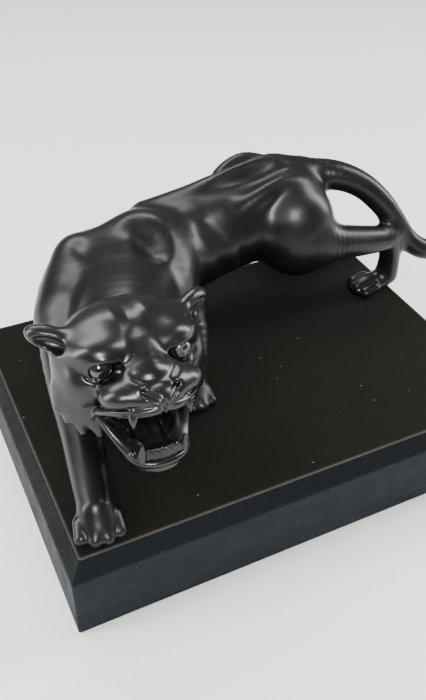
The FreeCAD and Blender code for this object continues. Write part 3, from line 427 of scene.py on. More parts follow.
def add_limbs(clay):
    """The legs, paws and tail, drawn out of the trunk."""
    clay.egg((-90, 26, 46), (14, 22, 22), (80, 0, 20), soft=9)
    for name, run in LEGS.items():
        clay.chain(run, soft=9 if "hind" in name else 8)
    clay.egg((63, 45, 56), (23, 20, 26), (-8, 0, 0), soft=10)
    clay.egg((62, 86, 54), (20, 13, 20), (8, 0, 0), soft=9)
    # elbow, and the folds of skin behind it over the ribs
    clay.egg((-24, 24, 36), (9, 10, 9), soft=7)
    for fold in (((-21, 41, 72, 4), (-12, 37, 61, 6), (-2, 40, 49, 6.5), (4, 44, 41, 5)),
                 ((-3, 46, 73, 3.5), (6, 39.5, 60, 5.5), (13, 41.5, 49, 6), (17, 46, 41, 4.5)),
                 ((15, 50, 73, 3.5), (21, 43.5, 60, 5), (26, 46, 49, 5.5), (28, 50, 42, 4))):
        clay.chain(fold, soft=4.5)
    clay.chain(TAIL, soft=7)
    # paws: four toes and the knuckles over them
    for name, (heel, toe, half, tall) in PAWS.items():
        heel, toe = np.array(heel, float), np.array(toe, float)
        long = np.linalg.norm(toe - heel)
        ahead = (toe - heel) / long
        aside = np.array([-ahead[1], ahead[0]])
        middle = heel + ahead * long * 0.42
        yaw = np.degrees(np.arctan2(ahead[1], ahead[0]))
        clay.egg((*middle, tall * 0.42), (long * 0.5, half * 0.86, tall * 0.5), (yaw, 0, 0), soft=5)
        for place in (-1.5, -0.5, 0.5, 1.5):
            reach = long * (1.0 if abs(place) < 1 else 0.88)
            knuckle = heel + ahead * (reach - 10) + aside * place * half * 0.50
            tip = heel + ahead * (reach - 3.0) + aside * place * half * 0.54
            clay.chain([(*knuckle, tall * 0.52, 3.6), (*tip, 4.2, 3.7)], soft=1.6)
    return clay


# -------------------------------------------------------------------------------- parting the clay

BODY_BOX = (-136, -112, -6), (204, 118, 112)
SEAMS = {  # a point on the joint with the body, and the way the limb leaves it
    "right_foreleg": ((-101, 6, 38), (-0.3, -0.86, -0.42)),
    "left_foreleg": ((-30, 14, 28), (0.0, -0.7, -0.72)),
    "left_hind_leg": ((80, 35, 46), (1, -0.1, -0.05)),
    "right_hind_leg": ((54, 90, 36), (0.8, 0.2, -0.6)),
    "tail": ((90, 61, 79), (0.9, -0.42, 0.0)),
}
HOUSING = 4.5  # wall of the hollow trunk
BELLY = ((-54, 30), (33, 22), 68)  # middle, half sizes and turn of the opening under the chest


def run_distance(spots, run, margin):
    """How far outside a limb's own rod, grown by a margin, each point lies."""
    nearest = None
    for start, end in zip(np.array(run, float), np.array(run, float)[1:]):
        way = end[:3] - start[:3]
        along = np.clip(((spots - start[:3]) @ way) / (way @ way), 0, 1)
        away = spots - start[:3] - along[..., None] * way
        gap = np.sqrt((away * away).sum(-1)) - (start[3] + (end[3] - start[3]) * along) - margin
        nearest = gap if nearest is None else np.minimum(nearest, gap)
    return nearest


def limb_region(spots, name):
    """Negative where the clay belongs to a limb: past its seam and near its rod."""
    at, way = SEAMS[name]
    way = np.array(way, float) / np.linalg.norm(way)
    past = -((spots - np.array(at, float)) @ way)
    run = TAIL if name == "tail" else LEGS[name]
    near = run_distance(spots, run, 9.0)
    if name in PAWS:
        heel, toe, half, _ = PAWS[name]
        paw = [(*heel, 6, half), (*toe, 6, half)]
        near = np.minimum(near, run_distance(spots, paw, 9.0))
    return np.maximum(past, near)


def limb_bounds(name):
    """The corners of a box that holds a limb's whole region."""
    run = np.array(TAIL if name == "tail" else LEGS[name], float)
    low, high = (run[:, :3] - run[:, 3:]).min(0) - 14, (run[:, :3] + run[:, 3:]).max(0) + 14
    if name in PAWS:
        heel, toe, half, _ = PAWS[name]
        for end in (heel, toe):
            low[:2] = np.minimum(low[:2], np.array(end) - half - 14)
            high[:2] = np.maximum(high[:2], np.array(end) + half + 14)
    return low, high


def grid_points(clay):
    axes = [(clay.low[i] + clay.step * np.arange(clay.depth.shape[i])).astype(np.float32) for i in range(3)]
    return np.stack(np.meshgrid(*axes, indexing="ij"), -1)


def stand(clay, spots):
    """Stops the clay flat on the panel."""
    clay.depth = np.maximum(clay.depth, -spots[..., 2])


def model_body(step):
    """The trunk and neck alone: hollow, open at the neck and under the chest."""
    clay = Clay(*BODY_BOX, step)
    shape_trunk(clay)
    inner = clay.depth.copy()
    add_limbs(clay)
    spots = grid_points(clay)
    for name in SEAMS:
        where, near = clay.window(*limb_bounds(name))
        clay.depth[where] = np.maximum(clay.depth[where], -(limb_region(near, name) + 2.4))
    stand(clay, spots)
    # the hollow, the opening under the chest and the neck's open end inside the head
    clay.depth = np.maximum(clay.depth, -(inner + HOUSING))
    (x, y), (half_long, half_wide), turn = BELLY
    local = (spots - np.array([x, y, 0])) @ turned(turn)
    corner = half_wide - 1
    wide = np.maximum(np.abs(local[..., 0]) - (half_long - corner), 0)
    gap = np.sqrt(wide ** 2 + np.maximum(np.abs(local[..., 1]) - 1, 0) ** 2) - corner
    clay.depth = np.maximum(clay.depth, -np.maximum(gap, spots[..., 2] - 30))
    into_head = (spots + np.array([0, 0, TOP]) - HEAD_AT) @ head_turn()
    clay.depth = np.maximum(clay.depth, 10 - into_head[..., 1])
    return clay


def model_limb(name, step):
    """One leg or the tail; at its seam its skin and the body's run into each other."""
    low, high = limb_bounds(name)
    low, high = low + 3, high - 3
    low[2] = max(low[2], -4)
    clay = Clay(low, high, step)
    shape_trunk(clay)
    add_limbs(clay)
    spots = grid_points(clay)
    region = limb_region(spots, name)
    clay.depth = np.maximum(clay.depth, region)
    stand(clay, spots)
    return clay


# ------------------------------------------------------------------------------------------ meshes

def cast(name, clay, carry=None, rounds=2):
    """Turns clay into a mesh object in metres; carry takes its points to the lamp's frame."""
    spots, faces = clay.skin(rounds)
    spots = carry(spots) if carry else spots + np.array([0, 0, TOP])
    corners = spots[faces]
    volume = np.einsum("ij,ij->i", corners[:, 0], np.cross(corners[:, 1], corners[:, 2])).sum()
    volume += np.einsum("ij,ij->i", corners[:, 0], np.cross(corners[:, 2], corners[:, 3])).sum()
    if volume < 0:
        faces = faces[:, ::-1]
    return mesh_object(name, spots * MM, faces)


def mesh_object(name, spots, faces):
    """A smooth mesh object made of four-sided faces."""
    mesh = bpy.data.meshes.new(name)
    mesh.vertices.add(len(spots))
    mesh.vertices.foreach_set("co", np.asarray(spots, np.float32).ravel())
    mesh.loops.add(len(faces) * 4)
    mesh.loops.foreach_set("vertex_index", np.asarray(faces, np.int32).ravel())
    mesh.polygons.add(len(faces))
    mesh.polygons.foreach_set("loop_start", np.arange(0, len(faces) * 4, 4, dtype=np.int32))
    mesh.update(calc_edges=True)
    mesh.validate()
    mesh.polygons.foreach_set("use_smooth", np.ones(len(mesh.polygons), bool))
    work = bmesh.new()
    work.from_mesh(mesh)
    lone = [v for v in work.verts if not v.link_faces]
    bmesh.ops.delete(work, geom=lone, context="VERTS")
    work.to_mesh(mesh)
    work.free()
    piece = bpy.data.objects.new(name, mesh)
    bpy.context.scene.collection.objects.link(piece)
    return piece


def join_clay(first, *others):
    """One mesh object out of several, each closed in itself."""
    for other in others:
        work = bmesh.new()
        work.from_mesh(first.data)
        work.from_mesh(other.data)
        work.to_mesh(first.data)
        work.free()
        bpy.data.objects.remove(other)
    return first


def detail(step):
    return step


def place(piece, slot, *nodes, body=ROOT):
    """Says what a finished piece rides on and which nodes it stands for; the slot is not used."""
    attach(piece, body)
    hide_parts(*nodes)
    return piece


def dress(piece, material):
    """Gives a piece one material."""
    piece.data.materials.clear()
    piece.data.materials.append(material)
    return piece


def islands(name):
    """The boxes of a node's separate solids, in metres."""
    work = bmesh.new()
    work.from_mesh(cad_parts[name].data)
    bmesh.ops.remove_doubles(work, verts=work.verts, dist=1e-6)
    work.verts.ensure_lookup_table()
    seen, boxes = set(), []
    for start in work.verts:
        if start.index in seen:
            continue
        stack, found = [start], []
        seen.add(start.index)
        while stack:
            vert = stack.pop()
            found.append(vert.co.copy())
            for edge in vert.link_edges:
                other = edge.other_vert(vert)
                if other.index not in seen:
                    seen.add(other.index)
                    stack.append(other)
        points = np.array(found)
        boxes.append((points.min(0), points.max(0)))
    work.free()
    return sorted(boxes, key=lambda box: tuple(np.round(box[0], 4)))


def rounded_ring(half_x, half_y, corner, along=24, round_steps=6):
    """Points of a rounded rectangle, with spaced points along its sides, and each point's outward way."""
    points, ways = [], []
    for quarter in range(4):
        turn = math.pi / 2 * quarter
        sx, sy = ((1, 1), (-1, 1), (-1, -1), (1, -1))[quarter]
        centre = np.array([sx * (half_x - corner), sy * (half_y - corner)])
        for step in range(round_steps + 1):
            angle = turn + math.pi / 2 * step / round_steps
            way = np.array([math.cos(angle), math.sin(angle)])
            points.append(centre + corner * way)
            ways.append(way)
        ahead = ((-1, 1), (-1, -1), (1, -1), (1, 1))[quarter]
        following = np.array([ahead[0] * (half_x - corner), ahead[1] * (half_y - corner)])
        angle = turn + math.pi / 2
        way = np.array([math.cos(angle), math.sin(angle)])
        for step in range(1, along):
            points.append(centre + corner * way + (following - centre) * step / along)
            ways.append(way)
    return np.array(points), np.array(ways)


def tube_of_rings(levels, half_x, half_y, corner, along=24, closed=True, ripple=None):
    """A mesh through rounded rectangles at (inset, height) levels; closed joins the last to the first."""
    spots, count = [], None
    for inset, height in levels:
        radius = max(corner - inset * 0.4, 0.4)
        ring, ways = rounded_ring(half_x - inset, half_y - inset, radius, along)
        level = np.column_stack([ring, np.full(len(ring), height)])
        if ripple is not None:
            level = ripple(level, ways)
        count = len(ring)
        spots.append(level)
    faces = []
    total = len(levels)
    for level in range(total if closed else total - 1):
        following = (level + 1) % total
        for i in range(count):
            j = (i + 1) % count
            faces.append((level * count + i, level * count + j, following * count + j, following * count + i))
    return np.concatenate(spots), np.array(faces), count


# ----------------------------------------------------------------------------------- node building

def add_node(tree, kind, sets=None, **properties):
    """A node with its properties and unlinked inputs set."""
    made = tree.nodes.new(kind)
    for key, value in properties.items():
        setattr(made, key, value)
    for key, value in (sets or {}).items():
        made.inputs[key].default_value = value
    return made


def link(tree, start, end):
    tree.links.new(start, end)


MIX_FIRST, MIX_SECOND, MIX_RESULT = 6, 7, 2  # the colour sockets of a Mix node, by their places
FLOAT, VECTOR = "NodeSocketFloat", "NodeSocketVector"
GEOMETRY, WHOLE, MATERIAL = "NodeSocketGeometry", "NodeSocketInt", "NodeSocketMaterial"


def socket(sockets, label):
    """A socket by its name, or by its number where names repeat."""
    return sockets[int(label)] if label.isdigit() else sockets[label]


def node_group(name, inputs, output, nodes, links, kind="ShaderNodeTree"):
    """Builds a node group once, from inputs, one output, nodes by name and links as text."""
    if name in bpy.data.node_groups:
        return bpy.data.node_groups[name]
    tree = bpy.data.node_groups.new(name, kind)
    for label, socket_type, default in inputs:
        made = tree.interface.new_socket(name=label, in_out="INPUT", socket_type=socket_type)
        if default is not None:
            made.default_value = default
    tree.interface.new_socket(name=output[0], in_out="OUTPUT", socket_type=output[1])
    placed = {"in": add_node(tree, "NodeGroupInput"), "out": add_node(tree, "NodeGroupOutput")}
    for label, (node_kind, sets, properties) in nodes.items():
        placed[label] = add_node(tree, node_kind, sets, **properties)
    for line in links.split("\n"):
        if ">" in line:
            start, end = (part.strip().split(".") for part in line.split(">"))
            link(tree, socket(placed[start[0]].outputs, start[1]), socket(placed[end[0]].inputs, end[1]))
    return tree


def math_node(operation, **sets):
    """A Math node's row; b is its second number."""
    return "ShaderNodeMath", {1: sets["b"]} if sets else {}, {"operation": operation}


def vector_node(operation, sets=None):
    """A Vector Math node's row."""
    return "ShaderNodeVectorMath", sets or {}, {"operation": operation}


def plain_node(kind, sets=None, **properties):
    """Any other node's row."""
    return kind, sets or {}, properties


def uneven_group():
    """A value that drifts between two limits over the surface."""
    return node_group(
        "uneven", [("Scale", FLOAT, 60.0), ("Low", FLOAT, 0.2), ("High", FLOAT, 0.4), ("Detail", FLOAT, 4.0)],
        ("Value", FLOAT), {
            "place": plain_node("ShaderNodeTexCoord"),
            "noise": plain_node("ShaderNodeTexNoise", {"Roughness": 0.6}),
            "spread": plain_node("ShaderNodeMapRange", {"From Min": 0.3, "From Max": 0.7}),
        }, """
        place.Object > noise.Vector
        in.Scale > noise.Scale
        in.Detail > noise.Detail
        noise.Fac > spread.Value
        in.Low > spread.To Min
        in.High > spread.To Max
        spread.Result > out.Value
        """)


def speck_group():
    """A mask of small scattered specks, as of dust: white where a speck lies."""
    return node_group(
        "specks", [("Scale", FLOAT, 400.0), ("Size", FLOAT, 0.2), ("Share", FLOAT, 0.1)], ("Mask", FLOAT), {
            "place": plain_node("ShaderNodeTexCoord"),
            "cells": plain_node("ShaderNodeTexVoronoi", {"Randomness": 1.0}),
            "near": math_node("LESS_THAN"),
            "pick": plain_node("ShaderNodeSeparateColor"),
            "chosen": math_node("LESS_THAN"),
            "both": math_node("MULTIPLY"),
        }, """
        place.Object > cells.Vector
        in.Scale > cells.Scale
        cells.Distance > near.0
        in.Size > near.1
        cells.Color > pick.Color
        pick.Red > chosen.0
        in.Share > chosen.1
        near.Value > both.0
        chosen.Value > both.1
        both.Value > out.Mask
        """)


def grain_group():
    """A height field of fine grain that can be stretched along each axis."""
    return node_group(
        "grain", [("Scale", FLOAT, 900.0), ("Stretch", VECTOR, (1, 1, 1)), ("Sharpness", FLOAT, 0.5)],
        ("Height", FLOAT), {
            "place": plain_node("ShaderNodeTexCoord"),
            "stretch": vector_node("MULTIPLY"),
            "noise": plain_node("ShaderNodeTexNoise", {"Detail": 3.0}),
            "cells": plain_node("ShaderNodeTexVoronoi"),
            "mix": plain_node("ShaderNodeMix"),
        }, """
        place.Object > stretch.0
        in.Stretch > stretch.1
        stretch.Vector > noise.Vector
        in.Scale > noise.Scale
        stretch.Vector > cells.Vector
        in.Scale > cells.Scale
        in.Sharpness > mix.Factor
        noise.Fac > mix.A
        cells.Distance > mix.B
        mix.Result > out.Height
        """)


def edge_group():
    """A mask that rises towards the outline of a rectangle centred on the object's origin."""
    return node_group(
        "outline", [("Half Size", VECTOR, (0.1, 0.1, 0)), ("Width", FLOAT, 0.002), ("Breakup", FLOAT, 0.5)],
        ("Mask", FLOAT), {
            "place": plain_node("ShaderNodeTexCoord"),
            "fold": vector_node("ABSOLUTE"),
            "gap": vector_node("SUBTRACT"),
            "split": plain_node("ShaderNodeSeparateXYZ"),
            "nearest": math_node("MINIMUM"),
            "fall": plain_node("ShaderNodeMapRange", {"To Min": 1.0, "To Max": 0.0}),
            "noise": plain_node("ShaderNodeTexNoise", {"Scale": 300.0, "Detail": 4.0}),
            "worn": math_node("MULTIPLY"),
            "mix": plain_node("ShaderNodeMix"),
        }, """
        place.Object > fold.0
        place.Object > noise.Vector
        in.Half Size > gap.0
        fold.Vector > gap.1
        gap.Vector > split.Vector
        split.X > nearest.0
        split.Y > nearest.1
        nearest.Value > fall.Value
        in.Width > fall.From Max
        fall.Result > worn.0
        noise.Fac > worn.1
        in.Breakup > mix.Factor
        fall.Result > mix.A
        worn.Value > mix.B
        mix.Result > out.Mask
        """)


def rings_group():
    """Wood's long grain: bands that run along X."""
    return node_group(
        "wood_bands", [("Scale", FLOAT, 60.0), ("Turn", VECTOR, (0, 0, 0))], ("Bands", FLOAT), {
            "place": plain_node("ShaderNodeTexCoord"),
            "spin": plain_node("ShaderNodeVectorRotate", rotation_type="EULER_XYZ"),
            "squeeze": vector_node("MULTIPLY", {1: (0.06, 1.0, 1.0)}),
            "bands": plain_node("ShaderNodeTexWave", {"Distortion": 6.0, "Detail": 4.0, "Detail Scale": 1.4},
                                bands_direction="Y"),
        }, """
        place.Object > spin.Vector
        in.Turn > spin.Rotation
        spin.Vector > squeeze.0
        squeeze.Vector > bands.Vector
        in.Scale > bands.Scale
        bands.Fac > out.Bands
        """)


class Finish:
    """A material being built: constants on the shader, effects from the shared groups."""

    def __init__(self, name, base, **constants):
        self.material = bpy.data.materials.new(name)
        self.material.use_nodes = True
        self.tree = self.material.node_tree
        self.shader = self.tree.nodes["Principled BSDF"]
        self.shader.inputs["Base Color"].default_value = (*base, 1)
        for socket, value in constants.items():
            label = socket.replace("_", " ").title().replace("Ior", "IOR")
            self.shader.inputs[label].default_value = value

    def effect(self, group, **sets):
        """Places a shared group with its own values and returns its first output."""
        made = self.tree.nodes.new("ShaderNodeGroup")
        made.node_tree = group
        for key, value in sets.items():
            made.inputs[key.replace("_", " ").title()].default_value = value
        return made.outputs[0]

    def uneven(self, socket, scale, low, high, detail=4.0):
        """Lets a socket drift between two values."""
        link(self.tree, self.effect(uneven_group(), scale=scale, low=low, high=high, detail=detail),
             self.shader.inputs[socket])

    def tint(self, masks, base):
        """Base colour with (mask, colour) layers over it."""
        colour = None
        for mask, over in masks:
            mix = add_node(self.tree, "ShaderNodeMix", data_type="RGBA")
            if colour is None:
                mix.inputs[MIX_FIRST].default_value = (*base, 1)
            else:
                link(self.tree, colour, mix.inputs[MIX_FIRST])
            mix.inputs[MIX_SECOND].default_value = (*over, 1)
            link(self.tree, mask, mix.inputs["Factor"])
            colour = mix.outputs[MIX_RESULT]
        link(self.tree, colour, self.shader.inputs["Base Color"])

    def scaled(self, output, factor):
        """An output multiplied by a number."""
        times = add_node(self.tree, "ShaderNodeMath", {1: factor}, operation="MULTIPLY")
        link(self.tree, output, times.inputs[0])
        return times.outputs["Value"]

    def relief(self, heights, distance, strength=1.0):
        """Bumps the surface by the sum of some heights."""
        total = heights[0]
        for height in heights[1:]:
            plus = add_node(self.tree, "ShaderNodeMath", operation="ADD")
            link(self.tree, total, plus.inputs[0])
            link(self.tree, height, plus.inputs[1])
            total = plus.outputs["Value"]
        bump = add_node(self.tree, "ShaderNodeBump", {"Distance": distance, "Strength": strength})
        link(self.tree, total, bump.inputs["Height"])
        link(self.tree, bump.outputs["Normal"], self.shader.inputs["Normal"])
        return self


# ---------------------------------------------------------------------------------------- finishes

def figure_finish(name, colour, smooth, rough, shine, coat, grain):
    """Black glaze: an even satin with a little drift, a fine skin and specks of dust."""
    made = Finish(name, colour, specular_ior_level=shine, coat_weight=coat, coat_roughness=0.16)
    made.uneven("Roughness", 45.0, smooth, rough)
    dust = made.effect(speck_group(), scale=520.0, size=0.16, share=0.05)
    pale = made.effect(uneven_group(), scale=28.0, low=0.0, high=0.12, detail=5.0)
    made.tint([(pale, (0.018, 0.018, 0.0175)), (made.scaled(dust, 0.4), (0.14, 0.135, 0.13))], colour)
    fine = made.effect(grain_group(), scale=grain, stretch=(1, 1, 1), sharpness=0.2)
    broad = made.effect(uneven_group(), scale=90.0, low=0.0, high=1.0, detail=3.0)
    return made.relief([made.scaled(fine, 0.35), broad], 0.00006, 0.6).material


def eye_finish(props, side):
    """A smoky glass eye: a dark pupil, a grey ring round it and a darker white; the ring carries painted
    light, brighter in the left eye and darker in the right.
    """
    made = Finish(f"eye_glass_{side}", (0.02, 0.02, 0.02), roughness=0.04, coat_weight=1.0,
                  coat_roughness=0.02, ior=1.5)
    low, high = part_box(f"{side}_eye")
    centre = (low + high) / 2
    sign = 1 if side == "left" else -1
    gaze = head_turn() @ np.array([0.25 * sign, -1, 0.02])
    gaze = gaze / np.linalg.norm(gaze)
    tree = made.tree
    place_of = add_node(tree, "ShaderNodeTexCoord")
    shift = add_node(tree, "ShaderNodeMapping")
    shift.inputs["Location"].default_value = -centre
    toward = add_node(tree, "ShaderNodeVectorMath", operation="NORMALIZE")
    facing = add_node(tree, "ShaderNodeVectorMath", {1: tuple(gaze)}, operation="DOT_PRODUCT")
    ramp = add_node(tree, "ShaderNodeValToRGB")
    link(tree, place_of.outputs["Object"], shift.inputs["Vector"])
    link(tree, shift.outputs["Vector"], toward.inputs[0])
    link(tree, toward.outputs["Vector"], facing.inputs[0])
    link(tree, facing.outputs["Value"], ramp.inputs["Fac"])
    # painted light and shade: the same ring colour is made brighter in the left eye and darker in the right,
    # as the light falls on them
    iris_with_painted_light = tuple(c * (1.25 if side == "left" else 0.2) for c in props.iris_colour)
    ramp.color_ramp.elements[0].position = 0.62
    ramp.color_ramp.elements[0].color = (0.02, 0.02, 0.02, 1)
    ramp.color_ramp.elements[1].position = 0.975
    ramp.color_ramp.elements[1].color = (0.004, 0.004, 0.004, 1)
    for position, colour in ((0.70, (*iris_with_painted_light, 1)), (0.93, (*[c * 0.6 for c in iris_with_painted_light], 1)),
                             (0.955, (0.01, 0.01, 0.01, 1))):
        ramp.color_ramp.elements.new(position).color = colour
    streaks = made.effect(grain_group(), scale=700.0, stretch=(1, 1, 1), sharpness=0.6)
    shade = add_node(tree, "ShaderNodeMix", data_type="RGBA", blend_type="MULTIPLY")
    shade.inputs[MIX_SECOND].default_value = (0.35, 0.35, 0.35, 1)
    link(tree, ramp.outputs["Color"], shade.inputs[MIX_FIRST])
    link(tree, streaks, shade.inputs["Factor"])
    link(tree, shade.outputs[MIX_RESULT], made.shader.inputs["Base Color"])
    return made.material


def suede_finish(props):
    """Brown-black napped sheet with a paler band along its outline and specks of dust."""
    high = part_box("top_panel")[1]
    made = Finish("suede_nap", props.suede_colour, specular_ior_level=0.06, sheen_weight=0.02,
                  sheen_roughness=0.5)
    made.uneven("Roughness", 30.0, 0.78, 0.95)
    brushed = made.effect(uneven_group(), scale=14.0, low=0.0, high=0.5, detail=6.0)
    fibre = made.effect(grain_group(), scale=1500.0, stretch=(1, 1, 1), sharpness=0.3)
    edge = made.effect(edge_group(), half_size=(high.x, high.y, 0), width=0.0016, breakup=0.6)
    dust = made.effect(speck_group(), scale=260.0, size=0.13, share=0.035)
    lint = made.effect(speck_group(), scale=90.0, size=0.05, share=0.12)
    paler = tuple(c * 1.7 for c in props.suede_colour)
    # the edge layer makes the sheet paler along its outline
    made.tint([(brushed, paler), (made.scaled(fibre, 0.35), tuple(c * 0.35 for c in props.suede_colour)),
               (made.scaled(edge, 0.65), (0.14, 0.13, 0.12)), (made.scaled(dust, 0.55), (0.24, 0.23, 0.21)),
               (made.scaled(lint, 0.6), (0.3, 0.29, 0.27))], props.suede_colour)
    nap = made.effect(grain_group(), scale=2400.0, stretch=(1, 1, 1), sharpness=0.5)
    return made.relief([nap, fibre], 0.0005, 1.0).material


def cloth_finish(props):
    """Blue-black book cloth: an upright fine grain with paler scuffs, and painted shade on the bevel."""
    made = Finish("book_cloth_grain", props.cloth_colour, specular_ior_level=0.1)
    made.uneven("Roughness", 60.0, 0.45, 0.62)
    upright = made.effect(grain_group(), scale=900.0, stretch=(1, 1, 0.22), sharpness=0.45)
    cross = made.effect(grain_group(), scale=1300.0, stretch=(1, 1, 1), sharpness=0.7)
    scuff = made.effect(speck_group(), scale=420.0, size=0.22, share=0.05)
    paler = tuple(c * 3.2 for c in props.cloth_colour)
    # painted shade: the bevel above the sides is coloured darker than they are, for the shade it sits in
    tree = made.tree
    place_of = add_node(tree, "ShaderNodeTexCoord")
    split = add_node(tree, "ShaderNodeSeparateXYZ")
    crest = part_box("side_covering")[1].z
    slope = add_node(tree, "ShaderNodeMapRange", {"From Min": crest - 0.0092, "From Max": crest - 0.0074})
    link(tree, place_of.outputs["Object"], split.inputs["Vector"])
    link(tree, split.outputs["Z"], slope.inputs["Value"])
    # the last layer paints shade onto the bevel, picked out by height
    made.tint([(made.scaled(upright, 0.9), paler), (made.scaled(scuff, 0.35), (0.1, 0.11, 0.13)),
               (made.scaled(slope.outputs["Result"], 0.75), (0.0025, 0.003, 0.0035))], props.cloth_colour)
    return made.relief([upright, made.scaled(cross, 0.6)], 0.0005, 1.0).material


def wood_finish(name, light, dark, scale, turn=(0, 0, 0), rough=0.7):
    """Bare timber with long bands and pores."""
    made = Finish(name, light, specular_ior_level=0.3)
    made.uneven("Roughness", 80.0, rough - 0.1, rough + 0.1)
    bands = made.effect(rings_group(), scale=scale, turn=turn)
    pores = made.effect(grain_group(), scale=1200.0, stretch=(0.08, 1, 1), sharpness=0.2)
    made.tint([(made.scaled(bands, 0.8), dark), (made.scaled(pores, 0.25), tuple(c * 0.5 for c in dark))],
              light)
    return made.relief([bands, pores], 0.0001, 0.4).material


def metal_finish(name, colour, low, high, stretch=(1, 1, 1)):
    """Turned or pressed metal with handling marks."""
    made = Finish(name, colour, metallic=1.0)
    made.uneven("Roughness", 220.0, low, high)
    tarnish = made.effect(uneven_group(), scale=130.0, low=0.0, high=0.55, detail=6.0)
    made.tint([(tarnish, tuple(c * 0.55 for c in colour))], colour)
    marks = made.effect(grain_group(), scale=1800.0, stretch=stretch, sharpness=0.2)
    return made.relief([marks], 0.00003, 0.5).material


def moulded_finish(name, colour, low, high, coat=0.0):
    """Moulded plastic, rubber or glazed ware with a faint orange-peel skin."""
    made = Finish(name, colour, coat_weight=coat, coat_roughness=0.08)
    made.uneven("Roughness", 90.0, low, high)
    drift = made.effect(uneven_group(), scale=70.0, low=0.0, high=0.35, detail=5.0)
    dust = made.effect(speck_group(), scale=700.0, size=0.14, share=0.04)
    made.tint([(drift, tuple(c * 0.6 for c in colour)), (made.scaled(dust, 0.4), (0.3, 0.29, 0.27))], colour)
    skin = made.effect(grain_group(), scale=800.0, stretch=(1, 1, 1), sharpness=0.1)
    return made.relief([skin], 0.00004, 0.5).material


def felt_finish(name, colour):
    """Pressed felt: matt, with short tangled fibres."""
    made = Finish(name, colour, specular_ior_level=0.1, sheen_weight=0.3, sheen_roughness=0.6)
    made.uneven("Roughness", 50.0, 0.85, 1.0)
    tangle = made.effect(grain_group(), scale=1100.0, stretch=(1, 0.5, 1), sharpness=0.6)
    lint = made.effect(speck_group(), scale=300.0, size=0.16, share=0.06)
    made.tint([(made.scaled(tangle, 0.6), tuple(c * 0.4 for c in colour)),
               (made.scaled(lint, 0.5), (0.2, 0.2, 0.19))], colour)
    return made.relief([tangle], 0.0005, 0.9).material


def bulb_finish():
    """Thin clear bulb glass, with a slight unevenness."""
    made = Finish("bulb_clear_glass", (1, 0.99, 0.97), transmission_weight=1.0, ior=1.45)
    made.uneven("Roughness", 60.0, 0.0, 0.04)
    waves = made.effect(uneven_group(), scale=80.0, low=0.0, high=1.0)
    return made.relief([waves], 0.00005, 0.3).material


# ---------------------------------------------------------------------------------------- settings

class PantherSettings(bpy.types.PropertyGroup):
    """Sizes and colours of the figure that a user would change."""

    body_step: bpy.props.FloatProperty(
        name="Body detail", description="Spacing of the body's mesh, in millimetres", default=1.25,
        min=0.6, max=3.0)
    limb_step: bpy.props.FloatProperty(
        name="Limb detail", description="Spacing of the legs' and tail's mesh, in millimetres",
        default=0.8, min=0.5, max=3.0)
    head_step: bpy.props.FloatProperty(
        name="Head detail", description="Spacing of the head's mesh, in millimetres", default=0.72,
        min=0.5, max=2.0)
    glaze_colour: bpy.props.FloatVectorProperty(
        name="Glaze colour", description="Colour of the black glaze", default=(0.004, 0.004, 0.0043),
        subtype="COLOR", min=0, max=1)
    body_roughness: bpy.props.FloatProperty(
        name="Body roughness", description="How satin the body's glaze is", default=0.34, min=0, max=1,
        subtype="FACTOR")
    head_roughness: bpy.props.FloatProperty(
        name="Head roughness", description="How satin the head's glaze is", default=0.28, min=0, max=1,
        subtype="FACTOR")
    iris_colour: bpy.props.FloatVectorProperty(
        name="Iris colour", description="Colour of the ring in the glass eyes",
        default=(0.16, 0.165, 0.15), subtype="COLOR", min=0, max=1)


class PlinthSettings(bpy.types.PropertyGroup):
    """Sizes and colours of the plinth and its small parts."""

    corner: bpy.props.FloatProperty(
        name="Corner radius", description="Rounding of the cloth over the plinth's upright corners",
        default=0.0012, min=0.0004, max=0.01, unit="LENGTH")
    suede_colour: bpy.props.FloatVectorProperty(
        name="Suede colour", description="Colour of the napped top", default=(0.0062, 0.0062, 0.0046),
        subtype="COLOR", min=0, max=1)
    cloth_colour: bpy.props.FloatVectorProperty(
        name="Cloth colour", description="Colour of the covering of the sides",
        default=(0.0032, 0.0046, 0.0068), subtype="COLOR", min=0, max=1)
    flutes: bpy.props.IntProperty(
        name="Knob flutes", description="Number of flutes round the switch knob", default=12, min=6,
        max=40)
    slot_width: bpy.props.FloatProperty(
        name="Screw slot", description="Width of the slot in each screw's head", default=0.001, min=0.0004,
        max=0.002, unit="LENGTH")


class StudioSettings(bpy.types.PropertyGroup):
    """Camera, lights and floor."""

    lens: bpy.props.FloatProperty(
        name="Lens", description="Focal length of the camera", default=41.29, min=10, max=200)
    floor_colour: bpy.props.FloatVectorProperty(
        name="Floor colour", description="Colour of the plain floor", default=(0.9, 0.9, 0.88),
        subtype="COLOR", min=0, max=1)
    key_power: bpy.props.FloatProperty(
        name="Key light", description="Power of the main soft light", default=19.0, min=0, max=200,
        unit="POWER")


# ------------------------------------------------------------------------------------------ pieces

def glaze(part):
    """The body's satin glaze or the head's glossier one."""
    props = bpy.context.scene.panther_figure
    name = f"black_glaze_{part}"
    if name in bpy.data.materials:
        return bpy.data.materials[name]
    colour = tuple(props.glaze_colour)
    if part == "head":
        return figure_finish(name, colour, props.head_roughness - 0.04, props.head_roughness + 0.1, 0.42,
                             0.18, 1500.0)
    if part == "tongue":
        return figure_finish(name, colour, 0.34, 0.5, 0.25, 0.0, 1100.0)
    return figure_finish(name, colour, props.body_roughness - 0.04, props.body_roughness + 0.1, 0.28, 0.06,
                         1300.0)


class MakeBody(bpy.types.Operator):
    """Models the hollow trunk and neck"""

    bl_idname = "panther_lamp.make_body"
    bl_label = "Make the body"

    def execute(self, context):
        piece = cast("panther_body", model_body(detail(context.scene.panther_figure.body_step)))
        dress(piece, glaze("body"))
        place(piece, "satin_black_casting", "body_casting")
        return {"FINISHED"}


